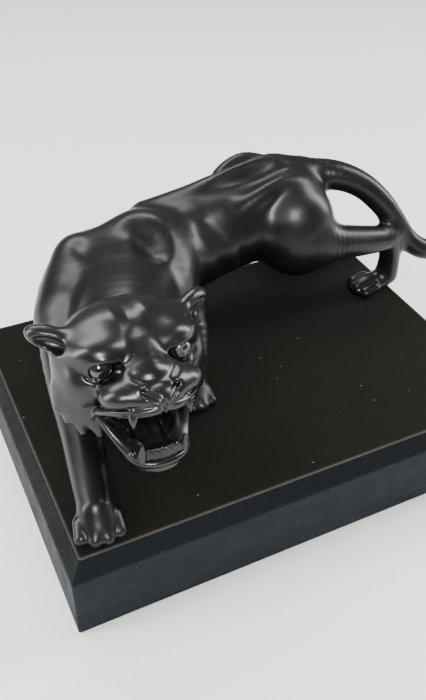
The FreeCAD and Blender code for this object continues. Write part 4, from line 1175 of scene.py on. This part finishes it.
class MakeLegsAndTail(bpy.types.Operator):
    """Models the four legs and the tail"""

    bl_idname = "panther_lamp.make_legs_and_tail"
    bl_label = "Make the legs and tail"

    def execute(self, context):
        for name in SEAMS:
            piece = cast(f"panther_{name}", model_limb(name, detail(context.scene.panther_figure.limb_step)))
            dress(piece, glaze("body"))
            place(piece, "satin_black_casting", name)
        return {"FINISHED"}


class MakeHead(bpy.types.Operator):
    """Models the head with its teeth, the jaw, the tongue and the eyes"""

    bl_idname = "panther_lamp.make_head"
    bl_label = "Make the head"

    def execute(self, context):
        step = detail(context.scene.panther_figure.head_step)
        fine = step * 0.75
        head = join_clay(cast("panther_head", model_head(step), head_to_lamp),
                         cast("upper_teeth", model_upper_teeth(fine), head_to_lamp))
        jaw = join_clay(cast("panther_jaw", model_jaw(step), head_to_lamp),
                        cast("lower_teeth", model_lower_teeth(fine), head_to_lamp))
        tongue = cast("panther_tongue", model_tongue(step), head_to_lamp)
        for piece, slot, node in ((head, "satin_black_casting", "head_casting"),
                                  (jaw, "satin_black_casting", "lower_jaw"),
                                  (tongue, "tongue_dark", "tongue")):
            dress(piece, glaze("tongue" if node == "tongue" else "head"))
            place(piece, slot, node)
        for side, sign in (("left", 1), ("right", -1)):
            eye = cast(f"panther_{side}_eye", model_eye(sign, 0.4), head_to_lamp, 3)
            dress(eye, eye_finish(context.scene.panther_figure, side))
            place(eye, "eye_glass", f"{side}_eye")
        return {"FINISHED"}


class MakePlinthCover(bpy.types.Operator):
    """Makes the cloth over the plinth's sides and bevel, and the suede top"""

    bl_idname = "panther_lamp.make_plinth_cover"
    bl_label = "Make the plinth's cover"

    def execute(self, context):
        props = context.scene.panther_plinth
        low, high = (np.array(corner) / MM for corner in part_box("side_covering"))
        top_low, top_high = (np.array(corner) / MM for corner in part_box("top_panel"))
        inset = high[0] - top_high[0]
        corner = props.corner / MM
        slope_top = top_high[2] - 1.0
        bevel = 7.6
        slope_foot = high[2] - bevel if high[2] - bevel < slope_top else slope_top - bevel
        thick = 0.6
        random = np.random.default_rng(7)
        bumps = random.uniform(-1, 1, (60, 5))

        def ripple(level, ways):
            """Small puckers in the cloth, most of them near the front left corner."""
            level = level.copy()
            push = np.zeros(len(level))
            for u, v, w, depth, size in bumps:
                x, y = high[0] * (-0.98 + 0.5 * abs(u) ** 1.5 * 2), high[1] * (-1.0 + 1.2 * abs(v) ** 2)
                z = low[2] + 4 + (high[2] - low[2] - 10) * (w * 0.5 + 0.5)
                near = ((level[:, 0] - x) ** 2 + (level[:, 1] - y) ** 2) / (2 + 5 * abs(size)) ** 2
                near = near + ((level[:, 2] - z) / (1.2 + 2 * abs(size))) ** 2
                push += 0.28 * depth * np.exp(-near)
            level[:, :2] += ways * push[:, None]
            return level

        def outer(margin):
            brow = slope_foot
            return [(margin, low[2]), (margin, low[2] + 0.5)] + [
                (margin, z) for z in np.linspace(low[2] + 2, brow - 1.2, 26)] + [
                (margin + 0.08, brow - 0.5), (margin + 0.3, brow + 0.1)] + [
                (margin + inset * t, brow + (slope_top - brow) * t) for t in np.linspace(0.12, 0.93, 8)] + [
                (margin + inset, slope_top)]

        faces_out = outer(0.0)
        faces_in = [(a + thick, min(z, slope_top)) for a, z in reversed(faces_out)]
        spots, faces, _ = tube_of_rings(faces_out + faces_in, high[0], high[1], corner, 90, True, ripple)
        cover = mesh_object("plinth_cloth", spots * MM, faces)
        dress(cover, cloth_finish(props))
        place(cover, "book_cloth", "side_covering")

        half_x, half_y = top_high[0], top_high[1]
        base, crest = top_low[2], top_high[2]
        levels = [(0.5, base), (0.1, base + 0.1), (0.0, base + 0.3), (0.0, crest - 0.45),
                  (0.12, crest - 0.14), (0.4, crest)]
        spots, faces, count = tube_of_rings(levels, half_x, half_y, 1.2, 60, False)
        sheet = mesh_object("suede_top", spots * MM, faces)
        work = bmesh.new()
        work.from_mesh(sheet.data)
        work.verts.ensure_lookup_table()
        last = (len(levels) - 1) * count
        work.faces.new([work.verts[last + i] for i in range(count)])
        work.faces.new([work.verts[i] for i in reversed(range(count))])
        bmesh.ops.recalc_face_normals(work, faces=work.faces)
        work.to_mesh(sheet.data)
        work.free()
        dress(sheet, suede_finish(props))
        place(sheet, "suede", "top_panel")
        return {"FINISHED"}


def run_tree(name, points, tree, values):
    """Runs a geometry tree on a mesh of points and keeps the result as a plain mesh object."""
    mesh = bpy.data.meshes.new(name + "_points")
    mesh.from_pydata([tuple(p) for p in points], [], [])
    carrier = bpy.data.objects.new(name, mesh)
    bpy.context.scene.collection.objects.link(carrier)
    modifier = carrier.modifiers.new("build", "NODES")
    modifier.node_group = tree
    for item in tree.interface.items_tree:
        if item.item_type == "SOCKET" and item.in_out == "INPUT" and item.name in values:
            modifier[item.identifier] = values[item.name]
    bpy.context.view_layer.update()
    graph = bpy.context.evaluated_depsgraph_get()
    result = bpy.data.meshes.new_from_object(carrier.evaluated_get(graph), depsgraph=graph)
    carrier.modifiers.remove(modifier)
    carrier.data = result
    bpy.data.meshes.remove(mesh)
    if not result.polygons:
        raise RuntimeError(f"{name} came out empty")
    return carrier


def screw_tree():
    """Slotted screws on points: head, shank and a slot turned at random."""
    return node_group(
        "slotted_screws", [
            ("Geometry", GEOMETRY, None), ("Head Radius", FLOAT, 0.0035), ("Foot Radius", FLOAT, 0.0016),
            ("Head Height", FLOAT, 0.002), ("Shank Radius", FLOAT, 0.0016), ("Shank Length", FLOAT, 0.01),
            ("Slot Width", FLOAT, 0.001), ("Slot Depth", FLOAT, 0.0009), ("Seed", WHOLE, 3),
            ("Material", MATERIAL, None),
        ], ("Geometry", GEOMETRY), {
            "head": plain_node("GeometryNodeMeshCone", {"Vertices": 40, "Side Segments": 3}),
            "shank": plain_node("GeometryNodeMeshCylinder", {"Vertices": 24, "Side Segments": 8}),
            "slot": plain_node("GeometryNodeMeshCube"),
            "size": plain_node("ShaderNodeCombineXYZ"),
            "length": math_node("MULTIPLY", b=3.0),
            "deep": math_node("MULTIPLY", b=2.0),
            "carve": plain_node("GeometryNodeMeshBoolean", operation="DIFFERENCE"),
            "lift": plain_node("GeometryNodeTransform"),
            "half": math_node("MULTIPLY", b=0.5),
            "rise": math_node("ADD"),
            "up": plain_node("ShaderNodeCombineXYZ"),
            "join": plain_node("GeometryNodeJoinGeometry"),
            "spread": plain_node("GeometryNodeInstanceOnPoints"),
            "spin": plain_node("FunctionNodeRandomValue", {1: (0, 0, math.tau)}, data_type="FLOAT_VECTOR"),
            "plain": plain_node("GeometryNodeRealizeInstances"),
            "paint": plain_node("GeometryNodeSetMaterial"),
        }, """
        in.Foot Radius > head.Radius Top
        in.Head Radius > head.Radius Bottom
        in.Head Height > head.Depth
        in.Shank Radius > shank.Radius
        in.Shank Length > shank.Depth
        in.Head Radius > length.0
        in.Slot Depth > deep.0
        length.0 > size.X
        in.Slot Width > size.Y
        deep.0 > size.Z
        size.0 > slot.Size
        head.Mesh > carve.0
        slot.Mesh > carve.1
        in.Shank Length > half.0
        half.0 > rise.0
        in.Head Height > rise.1
        rise.0 > up.Z
        up.0 > lift.Translation
        shank.Mesh > lift.Geometry
        carve.Mesh > join.0
        lift.Geometry > join.0
        in.Geometry > spread.Points
        join.0 > spread.Instance
        in.Seed > spin.Seed
        spin.0 > spread.Rotation
        spread.0 > plain.0
        plain.0 > paint.Geometry
        in.Material > paint.Material
        paint.0 > out.Geometry
        """, "GeometryNodeTree")


def knob_tree():
    """A knob whose side is fluted by a cosine round its axis, on each point."""
    return node_group(
        "fluted_knob", [
            ("Geometry", GEOMETRY, None), ("Radius", FLOAT, 0.0085), ("Length", FLOAT, 0.012),
            ("Flutes", FLOAT, 12.0), ("Flute Depth", FLOAT, 0.0009), ("Draft", FLOAT, 0.06),
            ("Material", MATERIAL, None),
        ], ("Geometry", GEOMETRY), {
            "blank": plain_node("GeometryNodeMeshCylinder",
                                {"Vertices": 144, "Side Segments": 12, "Fill Segments": 4}),
            "where": plain_node("GeometryNodeInputPosition"),
            "parts": plain_node("ShaderNodeSeparateXYZ"),
            "angle": math_node("ARCTAN2"),
            "times": math_node("MULTIPLY"),
            "wave": math_node("COSINE"),
            "shift": math_node("ADD", b=-1.0),
            "share": math_node("DIVIDE"),
            "bite": math_node("MULTIPLY"),
            "along": math_node("DIVIDE"),
            "taper": math_node("MULTIPLY"),
            "narrow": math_node("SUBTRACT"),
            "grow": math_node("ADD", b=1.0),
            "x": math_node("MULTIPLY"),
            "y": math_node("MULTIPLY"),
            "again": plain_node("ShaderNodeCombineXYZ"),
            "move": plain_node("GeometryNodeSetPosition"),
            "spread": plain_node("GeometryNodeInstanceOnPoints", {"Rotation": (-math.pi / 2, 0, 0)}),
            "plain": plain_node("GeometryNodeRealizeInstances"),
            "paint": plain_node("GeometryNodeSetMaterial"),
        }, """
        in.Radius > blank.Radius
        in.Length > blank.Depth
        where.0 > parts.0
        parts.Y > angle.0
        parts.X > angle.1
        angle.0 > times.0
        in.Flutes > times.1
        times.0 > wave.0
        wave.0 > shift.0
        in.Flute Depth > share.0
        in.Radius > share.1
        shift.0 > bite.0
        share.0 > bite.1
        parts.Z > along.0
        in.Length > along.1
        along.0 > taper.0
        in.Draft > taper.1
        bite.0 > narrow.0
        taper.0 > narrow.1
        narrow.0 > grow.0
        parts.X > x.0
        grow.0 > x.1
        parts.Y > y.0
        grow.0 > y.1
        x.0 > again.X
        y.0 > again.Y
        parts.Z > again.Z
        blank.Mesh > move.Geometry
        again.0 > move.Position
        in.Geometry > spread.Points
        move.0 > spread.Instance
        spread.0 > plain.0
        plain.0 > paint.Geometry
        in.Material > paint.Material
        paint.0 > out.Geometry
        """, "GeometryNodeTree")


class MakeFixings(bpy.types.Operator):
    """Makes the cover screws, the paw screws and the switch knob"""

    bl_idname = "panther_lamp.make_fixings"
    bl_label = "Make the screws and knob"

    def execute(self, context):
        props = context.scene.panther_plinth
        steel = metal_finish("zinc_plate_screws", (0.56, 0.56, 0.54), 0.3, 0.48)
        for name, node, foot, share, seed in (("cover_screw_set", "cover_screws", 0.5, 0.2, 3),
                                              ("paw_screw_set", "paw_screws", 0.96, 0.13, 11)):
            boxes = islands(node)
            low, high = boxes[0]
            head, tall = (high[0] - low[0]) / 2, high[2] - low[2]
            rise = tall * share
            shank = head * 0.46
            points = [((a[0] + b[0]) / 2, (a[1] + b[1]) / 2, a[2]) for a, b in boxes]
            piece = run_tree(name, points, screw_tree(), {
                "Head Radius": head * 0.995, "Foot Radius": head * foot, "Head Height": rise,
                "Shank Radius": shank, "Shank Length": tall - rise, "Slot Width": props.slot_width,
                "Slot Depth": rise * 0.4, "Seed": seed, "Material": steel})
            place(piece, "zinc_steel", node)
        low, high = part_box("switch_knob")
        middle = (low + high) / 2
        piece = run_tree("fluted_switch_knob", [middle], knob_tree(), {
            "Radius": (high.x - low.x) / 2, "Length": high.y - low.y, "Flutes": float(props.flutes),
            "Flute Depth": 0.0007, "Draft": 0.0,
            "Material": moulded_finish("knob_bakelite", (0.02, 0.012, 0.01), 0.18, 0.3, 0.4)})
        place(piece, "bakelite", "switch_knob", body="switch_spindle")
        return {"FINISHED"}


class FinishFrameParts(bpy.types.Operator):
    """Gives every part kept from the frame its own finish"""

    bl_idname = "panther_lamp.finish_frame_parts"
    bl_label = "Finish the frame's parts"

    def execute(self, context):
        brass = metal_finish("turned_brass", (0.72, 0.52, 0.22), 0.22, 0.4)
        steel = metal_finish("zinc_plate", (0.55, 0.55, 0.53), 0.32, 0.5)
        nickel = metal_finish("nickel_plate", (0.62, 0.6, 0.57), 0.12, 0.25)
        pine_long = wood_finish("pine_along", (0.5, 0.33, 0.17), (0.34, 0.19, 0.08), 55.0)
        pine_cross = wood_finish("pine_across", (0.5, 0.33, 0.17), (0.34, 0.19, 0.08), 55.0,
                                 (0, 0, math.pi / 2))
        plywood = wood_finish("birch_ply", (0.52, 0.38, 0.22), (0.4, 0.27, 0.14), 30.0)
        hardboard = wood_finish("pressed_board", (0.2, 0.12, 0.065), (0.15, 0.085, 0.045), 160.0, rough=0.8)
        bakelite = moulded_finish("moulded_bakelite", (0.02, 0.012, 0.01), 0.2, 0.34, 0.3)
        rubber = moulded_finish("lead_rubber", (0.05, 0.03, 0.018), 0.45, 0.6)
        finishes = {
            "front_rail": pine_long, "back_rail": pine_long,
            "left_rail": pine_cross, "right_rail": pine_cross,
            "front_batten": pine_long, "back_batten": pine_long, "deck": plywood, "bottom_cover": hardboard,
            "base_felt": felt_finish("green_black_felt", (0.03, 0.055, 0.04)),
            "paw_inserts": brass, "centre_contact": brass, "lamp_pipe": brass, "pipe_nuts": brass,
            "pipe_washers": steel, "paw_washers": steel, "socket_bracket": steel, "socket_screw": steel,
            "knob_grub_screw": steel, "switch_nut": nickel, "switch_bushing": nickel, "switch_shaft": brass,
            "socket_shell": brass, "bulb_cap": nickel,
            "bulb_tip_contact": metal_finish("solder_tip", (0.5, 0.5, 0.5), 0.3, 0.5),
            "bulb_filament": metal_finish("tungsten_wire", (0.25, 0.24, 0.23), 0.3, 0.5),
            "bulb_glass": bulb_finish(),
            "socket_body": moulded_finish("glazed_socket", (0.75, 0.73, 0.67), 0.12, 0.25, 0.4),
            "switch_body": bakelite,
            "cord_bushing": moulded_finish("black_nylon_bush", (0.02, 0.02, 0.02), 0.4, 0.55),
            "lead_neutral": rubber, "lead_to_switch": rubber, "lead_switch_feed": rubber,
            "wire_connectors": moulded_finish("orange_wire_nuts", (0.6, 0.2, 0.05), 0.35, 0.5),
        }
        for name, made in finishes.items():
            dress(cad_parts[name], made)
        shown = {n for n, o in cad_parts.items() if not o.hide_render}
        if shown - set(finishes):
            raise RuntimeError(f"no finish for {sorted(shown - set(finishes))}")
        return {"FINISHED"}


CAMERA_AT = -180.243, -325.930, 370.878
CAMERA_TURN = -26.576, 39.725, 1.295  # degrees round, up and rolled
SKY_COLOUR, SKY_STRENGTH = (0.93, 0.95, 1.0, 1), 0.24


class MakeStage(bpy.types.Operator):
    """Sets the floor, the soft lights and the camera"""

    bl_idname = "panther_lamp.make_stage"
    bl_label = "Make the stage"

    def execute(self, context):
        scene = context.scene
        props = scene.panther_studio
        mesh = bpy.data.meshes.new("studio_floor")
        reach = 6.0
        mesh.from_pydata([(-reach, -reach, 0), (reach, -reach, 0), (reach, reach, 0), (-reach, reach, 0)], [],
                         [(0, 1, 2, 3)])
        floor = bpy.data.objects.new("studio_floor", mesh)
        scene.collection.objects.link(floor)
        paint = Finish("plain_floor", tuple(props.floor_colour), roughness=0.9, specular_ior_level=0.1)
        floor.data.materials.append(paint.material)

        world = bpy.data.worlds.new("studio")
        scene.world = world
        world.use_nodes = True
        world.node_tree.nodes["Background"].inputs["Color"].default_value = SKY_COLOUR
        world.node_tree.nodes["Background"].inputs["Strength"].default_value = SKY_STRENGTH

        def soft_box(name, at, target, wide, tall, power):
            data = bpy.data.lights.new(name, "AREA")
            data.shape, data.size, data.size_y = "RECTANGLE", wide, tall
            data.energy = power
            lamp = bpy.data.objects.new(name, data)
            scene.collection.objects.link(lamp)
            way = Vector(target) - Vector(at)
            lamp.location = at
            lamp.rotation_euler = way.to_track_quat("-Z", "Y").to_euler()

        key = props.key_power
        soft_box("overhead", (-0.15, 0.75, 1.15), (0, 0.05, 0.08), 1.3, 0.45, key * 0.9)
        soft_box("left_strip", (-1.15, 0.15, 0.65), (-0.05, 0, 0.08), 0.3, 1.2, key)
        soft_box("right_strip", (1.1, -0.05, 0.75), (0, 0, 0.08), 0.35, 1.3, key * 1.1)
        soft_box("front_fill", (-0.5, -1.3, 1.3), (-0.06, -0.25, 0.0), 0.5, 0.5, key * 2.1)

        data = bpy.data.cameras.new("camera")
        camera = bpy.data.objects.new("camera", data)
        scene.collection.objects.link(camera)
        data.lens, data.sensor_width, data.clip_start, data.clip_end = props.lens, 36.0, 0.01, 50.0
        azimuth, elevation, roll = (math.radians(angle) for angle in CAMERA_TURN)
        back = Vector((math.sin(azimuth) * math.cos(elevation), -math.cos(azimuth) * math.cos(elevation),
                       math.sin(elevation)))
        right = (-back).cross(Vector((0, 0, 1))).normalized()
        up = right.cross(-back)
        across = right * math.cos(roll) + up * math.sin(roll)
        rise = -right * math.sin(roll) + up * math.cos(roll)
        turn = Matrix((across, rise, back)).transposed().to_4x4()
        camera.matrix_world = Matrix.Translation(Vector(CAMERA_AT) * MM) @ turn
        scene.camera = camera
        return {"FINISHED"}


class PANTHER_PT_panel(bpy.types.Panel):
    """The lamp's pieces and settings in the sidebar"""

    bl_label = "Panther lamp"
    bl_idname = "PANTHER_PT_panel"
    bl_space_type = "VIEW_3D"
    bl_region_type = "UI"
    bl_category = "Panther lamp"

    def draw(self, context):
        for operator in OPERATORS:
            self.layout.operator(operator.bl_idname)
        for label in GROUPS:
            box = self.layout.box()
            group = getattr(context.scene, label)
            for key in group.bl_rna.properties.keys():
                if key not in ("rna_type", "name"):
                    box.prop(group, key)


OPERATORS = (MakeStage, MakeBody, MakeLegsAndTail, MakeHead, MakePlinthCover, MakeFixings, FinishFrameParts)
GROUPS = {"panther_figure": PantherSettings, "panther_plinth": PlinthSettings,
          "panther_studio": StudioSettings}


def register():
    for made in (*GROUPS.values(), *OPERATORS, PANTHER_PT_panel):
        bpy.utils.register_class(made)
    for label, group in GROUPS.items():
        setattr(bpy.types.Scene, label, bpy.props.PointerProperty(type=group))


def unregister():
    for label in GROUPS:
        delattr(bpy.types.Scene, label)
    for made in reversed((*GROUPS.values(), *OPERATORS, PANTHER_PT_panel)):
        bpy.utils.unregister_class(made)


def main():
    """Builds every piece in order."""
    register()
    bpy.ops.panther_lamp.make_stage()
    bpy.ops.panther_lamp.make_body()
    bpy.ops.panther_lamp.make_legs_and_tail()
    bpy.ops.panther_lamp.make_head()
    bpy.ops.panther_lamp.make_plinth_cover()
    bpy.ops.panther_lamp.make_fixings()
    bpy.ops.panther_lamp.finish_frame_parts()


if __name__ == "__main__":
    main()
